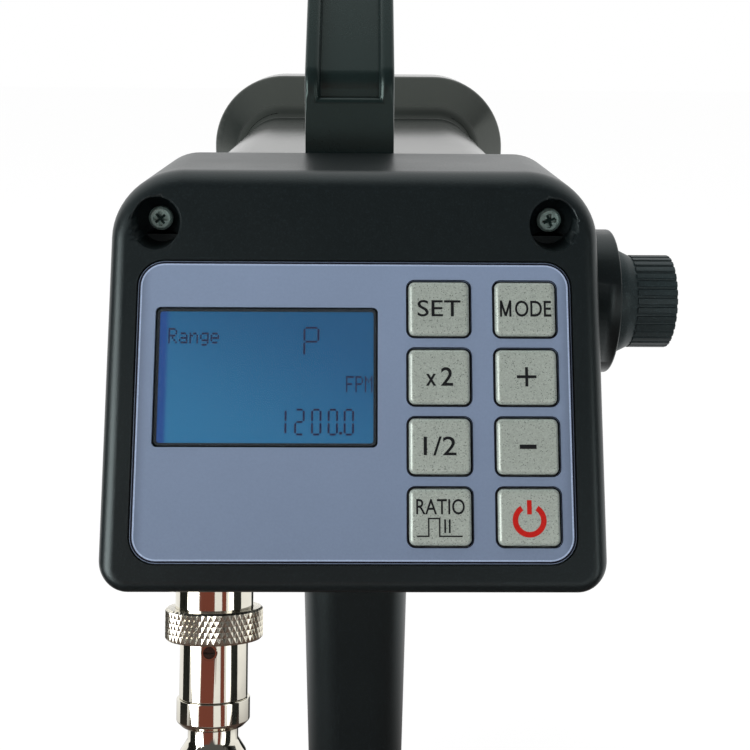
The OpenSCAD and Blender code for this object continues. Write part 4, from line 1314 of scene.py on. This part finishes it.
@dataclass
class LabelPanel:
    """The printed film on the panel, with painted shade and a painted highlight round its edge."""

    edge: float = 0.12
    size: Pair = (83.36, 57.56)
    middle_s: float = 1.0
    corner: float = 4.88
    # Widths of the dark line of painted shade at the film's edge and of the pale line of painted
    # highlight inside it
    border: float = 0.36
    line: float = 0.3
    top: float = -0.1
    # Lift and thickness of those painted lines over the film
    print_lift: float = 0.002
    print_t: float = 0.015

    def build(self) -> None:
        """Build the film with a faintly rounded edge, the dark line of painted shade round it and the
        pale line of painted highlight inside that.
        """
        film = Shape.of_node("panel_label", PANEL)
        film.soften(self.edge, crisp(lambda point: point.z > self.top - NEAR, least=40.0), segments=2)
        film.moved(PANEL.matrix).piece("panel_film", Looks.LABEL, HOUSING, ["panel_label"])
        self.paint_edge_shade_and_highlight("film_border", Looks.FILM_SHADE, 0.0, self.border)
        self.paint_edge_shade_and_highlight("film_line", Looks.FILM_HIGHLIGHT, self.border, self.line)

    def paint_edge_shade_and_highlight(self, name: str, finish: Finish, inset: float, width: float) -> None:
        """Paint a line of shade or of highlight round the film.

        Args:
            name: The piece's name.
            finish: Its finish, which paints the shade or the highlight.
            inset: Its distance from the film's edge.
            width: Its width.
        """
        size = (self.size[0] - 2 * inset, self.size[1] - 2 * inset)
        line = Shape.outline(size, self.corner - inset, width).thick(self.print_t)
        line.shifted(0.0, self.middle_s, self.top + self.print_lift)
        line.moved(PANEL.matrix).piece(name, finish)


class Glyph(Enum):
    """Dot letters of the display, seven rows of five dots, and one more row below the line."""

    R = ("####.", "#...#", "#...#", "####.", "#.#..", "#..#.", "#...#")
    A_SMALL = (".....", ".....", ".###.", "....#", ".####", "#...#", ".####")
    N_SMALL = (".....", ".....", "#.##.", "##..#", "#...#", "#...#", "#...#")
    G_SMALL = (".....", ".....", ".####", "#...#", "#...#", ".####", "....#", ".###.")
    E_SMALL = (".....", ".....", ".###.", "#...#", "#####", "#....", ".###.")
    F = ("#####", "#....", "#....", "####.", "#....", "#....", "#....")
    P = ("####.", "#...#", "#...#", "####.", "#....", "#....", "#....")
    M = ("#...#", "##.##", "#.#.#", "#...#", "#...#", "#...#", "#...#")


class Bar(Enum):
    """The seven bars of a display digit, as ends in a cell one wide and two high."""

    TOP = (0.0, 2.0, 1.0, 2.0)
    UPPER_RIGHT = (1.0, 1.0, 1.0, 2.0)
    LOWER_RIGHT = (1.0, 0.0, 1.0, 1.0)
    LOW = (0.0, 0.0, 1.0, 0.0)
    LOWER_LEFT = (0.0, 0.0, 0.0, 1.0)
    UPPER_LEFT = (0.0, 1.0, 0.0, 2.0)
    MIDDLE = (0.0, 1.0, 1.0, 1.0)


ZERO = (Bar.TOP, Bar.UPPER_RIGHT, Bar.LOWER_RIGHT, Bar.LOW, Bar.LOWER_LEFT, Bar.UPPER_LEFT)
ONE = (Bar.UPPER_RIGHT, Bar.LOWER_RIGHT)
TWO = (Bar.TOP, Bar.UPPER_RIGHT, Bar.MIDDLE, Bar.LOWER_LEFT, Bar.LOW)
LETTER_P = (Bar.TOP, Bar.UPPER_RIGHT, Bar.MIDDLE, Bar.UPPER_LEFT, Bar.LOWER_LEFT)


@dataclass
class DisplayUnit:
    """The lit display under its clear pane, with the marks that it shows.

    Marks are placed from the window's upper left corner. A plate has its inset from the window's
    edge, the radius of its corners, and the heights of its face and back.
    """

    left: float = -38.0
    top: float = 20.6
    size: Pair = (42.2, 26.5)
    back: Sequence[float] = (0.05, 0.95, -0.82, -1.6)
    face: Sequence[float] = (0.55, 0.5, -0.64, -0.8)
    pane: Sequence[float] = (0.01, 1.0, -0.1, -0.5)
    pane_edge: float = 0.12
    mark_z: float = -0.6
    mark_t: float = 0.02
    word: Sequence[Glyph] = (Glyph.R, Glyph.A_SMALL, Glyph.N_SMALL, Glyph.G_SMALL, Glyph.E_SMALL)
    word_corner: Pair = (2.2, -3.75)
    word_size: Pair = (9.8, 3.1)
    unit: Sequence[Glyph] = (Glyph.F, Glyph.P, Glyph.M)
    unit_corner: Pair = (36.4, -13.0)
    unit_size: Pair = (5.1, 3.2)
    dot: Pair = (0.94, 0.9)
    letter_corner: Pair = (28.35, -9.1)
    letter_size: Pair = (2.7, 5.45)
    digits: Sequence[tuple[float, Sequence[Bar]]] = (
        (23.35, ONE), (26.8, TWO), (30.0, ZERO), (33.15, ZERO), (36.2, ZERO)
    )
    digit_low: float = -24.3
    digit_size: Pair = (1.6, 4.75)
    stroke: float = 0.4
    stroke_gap: float = 0.55
    point: Stroke = (35.15, -24.05, 35.75, -24.05)
    point_width: float = 0.55

    def build(self) -> None:
        """Build the backing, the lit face, its marks and the pane."""
        self.lay(self.plate(*self.back), "display_border", Looks.BORDER)
        self.lay(self.plate(*self.face), "display_face", Looks.LIT)
        pane = self.plate(*self.pane)
        pane.soften(self.pane_edge, crisp(lambda point: point.z > self.pane[2] - NEAR), segments=2)
        self.lay(pane, "display_pane", Looks.PANE, ["display_window"])
        marks = self.marks().thick(self.mark_t).shifted(self.left, self.top, self.mark_z)
        marks.moved(PANEL.matrix).piece("display_marks", Looks.DISPLAY_MARK)

    def plate(self, inset: float, corner: float, face: float, back: float) -> Shape:
        """Make a plate of the window's shape, smaller all round by an inset."""
        return Shape.slab((self.size[0] - 2 * inset, self.size[1] - 2 * inset), corner, face, back)

    def lay(self, shape: Shape, name: str, finish: Finish, nodes: Sequence[str] = ()) -> None:
        """Lay a plate on the panel at the display's middle, as a piece that may replace solids."""
        shape.shifted(self.left + self.size[0] / 2, self.top - self.size[1] / 2)
        shape.moved(PANEL.matrix).piece(name, finish, HOUSING, nodes)

    def marks(self) -> Shape:
        """Set all marks from the display's upper left corner.

        Returns:
            The flat marks.
        """
        marks = self.dots(self.word, self.word_corner, self.word_size)
        marks.joined(self.dots(self.unit, self.unit_corner, self.unit_size))
        marks.joined(self.digit(LETTER_P, self.letter_corner, self.letter_size))
        for left, bars in self.digits:
            marks.joined(self.digit(bars, (left, self.digit_low), self.digit_size))
        return marks.joined(Shape.bars([self.point], self.point_width))

    def dots(self, word: Sequence[Glyph], corner: Pair, size: Pair) -> Shape:
        """Set a word in dot letters, with an empty column between letters.

        Args:
            word: The letters.
            corner: Upper left corner of the word.
            size: Width of the word and height of a capital.

        Returns:
            The dots.
        """
        rows, columns = len(Glyph.R.value), len(Glyph.R.value[0]) + 1
        step_x, step_y = size[0] / (columns * len(word) - 1), size[1] / rows
        strokes: list[Stroke] = []
        for place, letter in enumerate(word):
            for row, line in enumerate(letter.value):
                for column, mark in enumerate(line):
                    if mark == "#":
                        x = corner[0] + (columns * place + column) * step_x
                        y = corner[1] - (row + 0.5) * step_y
                        strokes.append((x, y, x + self.dot[0] * step_x, y))
        return Shape.bars(strokes, self.dot[1] * step_y)

    def digit(self, bars: Sequence[Bar], corner: Pair, size: Pair) -> Shape:
        """Set one digit of bars.

        Args:
            bars: The bars that show.
            corner: Where the middles of its left bars and its lowest bar meet.
            size: Its width and height between the bars' middles.

        Returns:
            The digit.
        """
        cell = Vector((size[0], size[1] / 2))
        strokes: list[Stroke] = []
        for bar in bars:
            start, end = (Vector(corner) + Vector(tip) * cell for tip in (bar.value[:2], bar.value[2:]))
            cut = (end - start).normalized() * self.stroke_gap * self.stroke
            strokes.append((*(start + cut), *(end - cut)))
        return Shape.bars(strokes, self.stroke)


@dataclass(frozen=True)
class KeyPrint:
    """A key's print: words with size, weight and place, strokes with their width, and an open ring."""

    node: str
    words: Sequence[tuple[str, Pair, float, Pair]] = ()
    strokes: Sequence[tuple[Sequence[Stroke], float]] = ()
    ring: Optional[tuple[Pair, float, float, Pair]] = None

    def shape(self) -> Shape:
        """Draw the print flat about the key's middle.

        Returns:
            The flat print.
        """
        flat = Shape()
        for text, size, weight, place in self.words:
            flat.joined(Shape.words(text, size, weight).shifted(*place))
        for strokes, width in self.strokes:
            flat.joined(Shape.bars(strokes, width))
        if self.ring:
            radii, start, sweep, place = self.ring
            flat.joined(Shape.arc(radii, start, sweep).shifted(*place))
        return flat


KEY_MIDDLE: Pair = (0.0, 0.0)


class Legend(Enum):
    """What is printed on each key, row by row."""

    SET = KeyPrint("key_set", [("SET", (8.3, 3.25), 0.004, KEY_MIDDLE)])
    MODE = KeyPrint(
        "key_mode",
        [("ODE", (7.0, 3.2), 0.008, (1.5, 0.0))],
        [([
            (-4.7, -1.6, -4.7, 1.6), (-2.9, -1.6, -2.9, 1.6),
            (-4.7, 1.5, -3.8, -1.45), (-2.9, 1.5, -3.8, -1.45),
        ], 0.4)],
    )
    DOUBLE = KeyPrint(
        "key_double", [("x", (1.95, 2.3), 0.01, (-1.6, -0.65)), ("2", (2.3, 3.6), 0.01, (1.43, 0.0))]
    )
    PLUS = KeyPrint(
        "key_plus",
        strokes=[([(0, -1.875, 0, 1.875), (-1.875, 0, -0.28, 0), (0.28, 0, 1.875, 0)], 0.56)],
    )
    HALF = KeyPrint("key_half", [("1/2", (6.2, 3.6), 0.004, KEY_MIDDLE)])
    MINUS = KeyPrint("key_minus", strokes=[([(-1.6, -0.1, 1.6, -0.1)], 0.83)])
    RATIO = KeyPrint(
        "key_ratio",
        [("RATIO", (9.1, 2.9), 0.006, (0.0, 1.9))],
        [
            ([
                (-4.44, -3.57, -2.1, -3.57), (-2.23, -3.43, -2.23, -0.42), (-2.37, -0.29, -0.04, -0.29),
                (-0.18, -0.42, -0.18, -3.43), (-0.32, -3.57, 4.1, -3.57),
            ], 0.27),
            ([(0.84, -2.96, 0.84, -0.44), (1.69, -2.96, 1.69, -0.44)], 0.33),
        ],
    )
    POWER = KeyPrint(
        "key_power", strokes=[([(0, 0.5, 0, 3.15)], 0.88)], ring=((2.15, 3.18), 122.0, 296.0, (0.0, -0.6))
    )


@dataclass
class Keypad:
    """The eight silver keys with their print, and painted shade round their openings."""

    columns: Pair = (16.25, 32.9)
    rows: Sequence[float] = (20.64, 7.36, -5.92, -19.2)
    proud: float = 0.6
    edge: float = 0.9
    edge_steps: int = 5
    print_lift: float = 0.005
    print_t: float = 0.025
    opening: Pair = (12.3, 11.2)
    opening_r: float = 1.5
    # The line of painted shade round each key's opening: its width, height and thickness
    gap_shade_line: float = 0.18
    frame_z: float = -0.098
    frame_t: float = 0.015

    def build(self) -> None:
        """Build each key and its print, and the lines of painted shade round the openings."""
        for index, legend in enumerate(Legend):
            row, column = divmod(index, len(self.columns))
            self.build_key(legend, self.columns[column], self.rows[row])
        self.paint_key_gap_shade()

    def paint_key_gap_shade(self) -> None:
        """Paint a thin dark line of shade round each key's opening, where the gap shows dark."""
        frames = Shape()
        size = (self.opening[0] + 2 * self.gap_shade_line, self.opening[1] + 2 * self.gap_shade_line)
        for x in self.columns:
            for s in self.rows:
                line = Shape.outline(size, self.opening_r + self.gap_shade_line, self.gap_shade_line)
                frames.joined(line.thick(self.frame_t).shifted(x, s, self.frame_z))
        frames.moved(PANEL.matrix).piece("key_frames", Looks.FILM_SHADE)

    def build_key(self, legend: Legend, x: float, s: float) -> None:
        """Build one key with its print.

        Args:
            legend: Its print, which also names its body.
            x: Place of its middle across the panel.
            s: Place of its middle along the panel.
        """
        node = legend.value.node
        cap = Shape.of_node(node, PANEL)
        cap.soften(self.edge, crisp(lambda point: point.z > self.proud - NEAR), self.edge_steps)
        cap.moved(PANEL.matrix).piece(node + "_cap", Looks.SILVER, node, [node])
        mark = legend.value.shape().thick(self.print_t).shifted(x, s, self.proud + self.print_lift)
        finish = Looks.RED_INK if legend is Legend.POWER else Looks.KEY_INK
        mark.moved(PANEL.matrix).piece(node + "_print", finish, node)


@dataclass
class Dial:
    """The ribbed dial and its grub screw."""

    end: float = 67.5
    edge: float = 0.18
    rim_r: float = 8.6

    def build(self) -> None:
        """Build the dial with a rounded outer rim."""
        knob = Shape.of_node("dial_knob", DIAL_AXIS)
        knob.soften(self.edge, crisp(self.on_rim, least=50.0), segments=2)
        knob.moved(DIAL_AXIS.matrix).piece("dial_moulding", Looks.DIAL_BLACK, "dial", ["dial_knob"])
        dress(Looks.ZINC, "dial_shaft", "dial_grub_screw")

    def on_rim(self, point: Vector) -> bool:
        """Say whether a point lies on the dial's outer rim."""
        return point.z > self.end - NEAR and point.xy.length > self.rim_r


@dataclass
class Connector:
    """The plated plug in its socket, with the knurled ring and the clamp."""

    shells: Sequence[tuple[str, str]] = (
        ("socket_shell", "socket_barrel"),
        ("plug_shell", "plug_sleeve"),
        ("plug_rear_shell", "plug_back_sleeve"),
        ("cable_clamp", "clamp_jaws"),
    )
    inside_r: float = 5.6
    edge: float = 0.22
    ring: Pair = (7.1, 13.3)
    ring_r: float = 9.75
    ring_crease: float = 20.0
    knurl: float = 0.25
    knurl_columns: int = 54
    knurl_rows: int = 5
    chamfer: float = 0.4
    thread_r: float = 7.86
    bore_r: float = 6.86
    land: float = 2.6
    screw_z: float = 15.0
    screw_rim: Sequence[Pair] = ((1.2, 6.3), (1.6, 6.3), (1.6, 6.72), (1.48, 6.86), (1.2, 6.86))
    screw_steps: int = 40

    def build(self) -> None:
        """Build the shells, the ring and the set screw."""
        outside = crisp(lambda point: point.xy.length > self.inside_r, least=30.0)
        for node, name in self.shells:
            shell = Shape.of_node(node, SOCKET_AXIS).soften(self.edge, outside, segments=2)
            shell.moved(SOCKET_AXIS.matrix).piece(name, Looks.NICKEL, HOUSING, [node])
        self.build_ring()
        screw = Shape.of_node("plug_set_screw")
        screw.piece("set_screw", Looks.SCREW_STEEL, HOUSING, ["plug_set_screw"])
        rim = Shape.turned(self.screw_rim, self.screw_steps).moved(UPRIGHT.inverted())
        rim.shifted(0.0, 0.0, self.screw_z).moved(SOCKET_AXIS.matrix)
        rim.piece("set_screw_rim", Looks.NICKEL)

    def build_ring(self) -> None:
        """Turn the ring and raise its crossed knurl."""
        low, high = self.ring
        foot = low + self.chamfer
        step = (high - foot - self.chamfer) / self.knurl_rows
        shape = Shape.turned([
            (self.thread_r, low),
            (self.ring_r - self.chamfer, low),
            *((self.ring_r, foot + row * step) for row in range(self.knurl_rows + 1)),
            (self.ring_r - self.chamfer, high),
            (self.bore_r, high),
            (self.bore_r, high - self.land),
            (self.thread_r, high - self.land),
        ], 2 * self.knurl_columns)
        crests = []
        for vert in shape.bm.verts:
            if vert.co.xy.length < self.ring_r - NEAR:
                continue
            row = round((vert.co.z - foot) / step)
            turn = round(math.atan2(vert.co.y, vert.co.x) / math.pi * self.knurl_columns)
            if (row + turn) % 2:
                vert.co.xy *= 1 - self.knurl / self.ring_r
            else:
                crests.append(vert)
        bmesh.ops.connect_verts(shape.bm, verts=crests)
        shape.moved(SOCKET_AXIS.matrix)
        shape.piece("knurled_ring", Looks.KNURL, "coupling_ring", ["coupling_ring"], self.ring_crease)


@dataclass
class LampHead:
    """The lamp housing with its bezel, glass and lights."""

    front_y: float = 160.0
    edge: float = 0.8

    def build(self) -> None:
        """Build the housing and bezel and dress what shows behind the glass."""
        head = Shape.of_node("lamp_housing")
        head.piece("lamp_moulding", Looks.HEAD_BLACK, HOUSING, ["lamp_housing"])
        bezel = Shape.of_node("front_bezel")
        bezel.soften(self.edge, crisp(lambda point: point.y > self.front_y - NEAR, least=40.0))
        bezel.piece("bezel_moulding", Looks.HEAD_BLACK, HOUSING, ["front_bezel"])
        dress(Looks.GLASS, "front_window")
        dress(Looks.MIRROR, "reflector")
        dress(Looks.CHIP, "leds")
        dress(Looks.LIGHT_BOARD, "led_board")
        dress(Looks.RUBBER, "window_seal")


@dataclass
class CarryHandle:
    """The carry handle over the neck."""

    foot_z: float = 192.5
    edge: float = 0.9
    middle_x: float = -1.6
    channel: float = 6.7
    channel_edge: float = 1.5
    channel_steps: int = 5

    def build(self) -> None:
        """Build the handle with rounded edges."""
        handle = Shape.of_node("carry_handle")
        handle.soften(self.channel_edge, crisp(self.on_channel), self.channel_steps)
        handle.soften(self.edge, crisp(lambda point: point.z > self.foot_z))
        handle.piece("handle_moulding", Looks.HANDLE_BLACK, HOUSING, ["carry_handle"])

    def on_channel(self, point: Vector) -> bool:
        """Say whether a point lies on a side of the channel."""
        return abs(abs(point.x - self.middle_x) - self.channel) < NEAR and point.z > self.foot_z


@dataclass
class Grip:
    """The grip with its base cap."""

    cap_edge: float = 0.6
    cap_side: float = 9.0

    def build(self) -> None:
        """Build the grip and its cap, and dress the bush in it."""
        grip = Shape.of_node("grip_shell")
        grip.piece("grip_moulding", Looks.BLACK, HOUSING, ["grip_shell"])
        cap = Shape.of_node("base_cap")
        cap.soften(self.cap_edge, crisp(lambda point: point.z < NEAR and abs(point.x) > self.cap_side))
        cap.piece("cap_moulding", Looks.BLACK, HOUSING, ["base_cap"])
        dress(Looks.BRASS, "tripod_bush")
        dress(Looks.ZINC, "cap_screws")


@dataclass
class InnerParts:
    """Pieces inside the part, by finish."""

    finishes: Mapping[Finish, Sequence[str]] = field(default_factory=lambda: {
        Looks.ZINC: (
            "board_screws", "clamp_screws", "driver_screws", "encoder_nut", "encoder_washer",
            "grip_screws", "handle_screws", "lamp_screws", "led_screws",
        ),
        Looks.NICKEL: ("socket_nut",),
        Looks.BOARD: ("control_board", "driver_board"),
        Looks.SILICONE: ("keypad_mat",),
        Looks.ENCODER: ("encoder_body",),
        Looks.INSULATOR: ("plug_insert", "socket_insert"),
        Looks.CONTACT: ("plug_contacts", "socket_pins"),
        Looks.ALLOY: ("heat_sink",),
        Looks.SLEEVE: ("capacitors",),
        Looks.LIT: ("display_module",),
    })

    def build(self) -> None:
        """Dress the solids that stay as they are."""
        for finish, nodes in self.finishes.items():
            dress(finish, *nodes)


def main() -> None:
    """Build the studio and the part's looks."""
    logging.basicConfig(level=logging.INFO, format="%(name)s: %(message)s")
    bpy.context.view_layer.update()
    for assembly in (
        Studio(), ControlBox(), LabelPanel(), DisplayUnit(), Keypad(), Dial(), Connector(),
        LampHead(), CarryHandle(), Grip(), InnerParts(),
    ):
        LOG.info("building the %s", type(assembly).__name__)
        assembly.build()


if __name__ == "__main__":
    main()
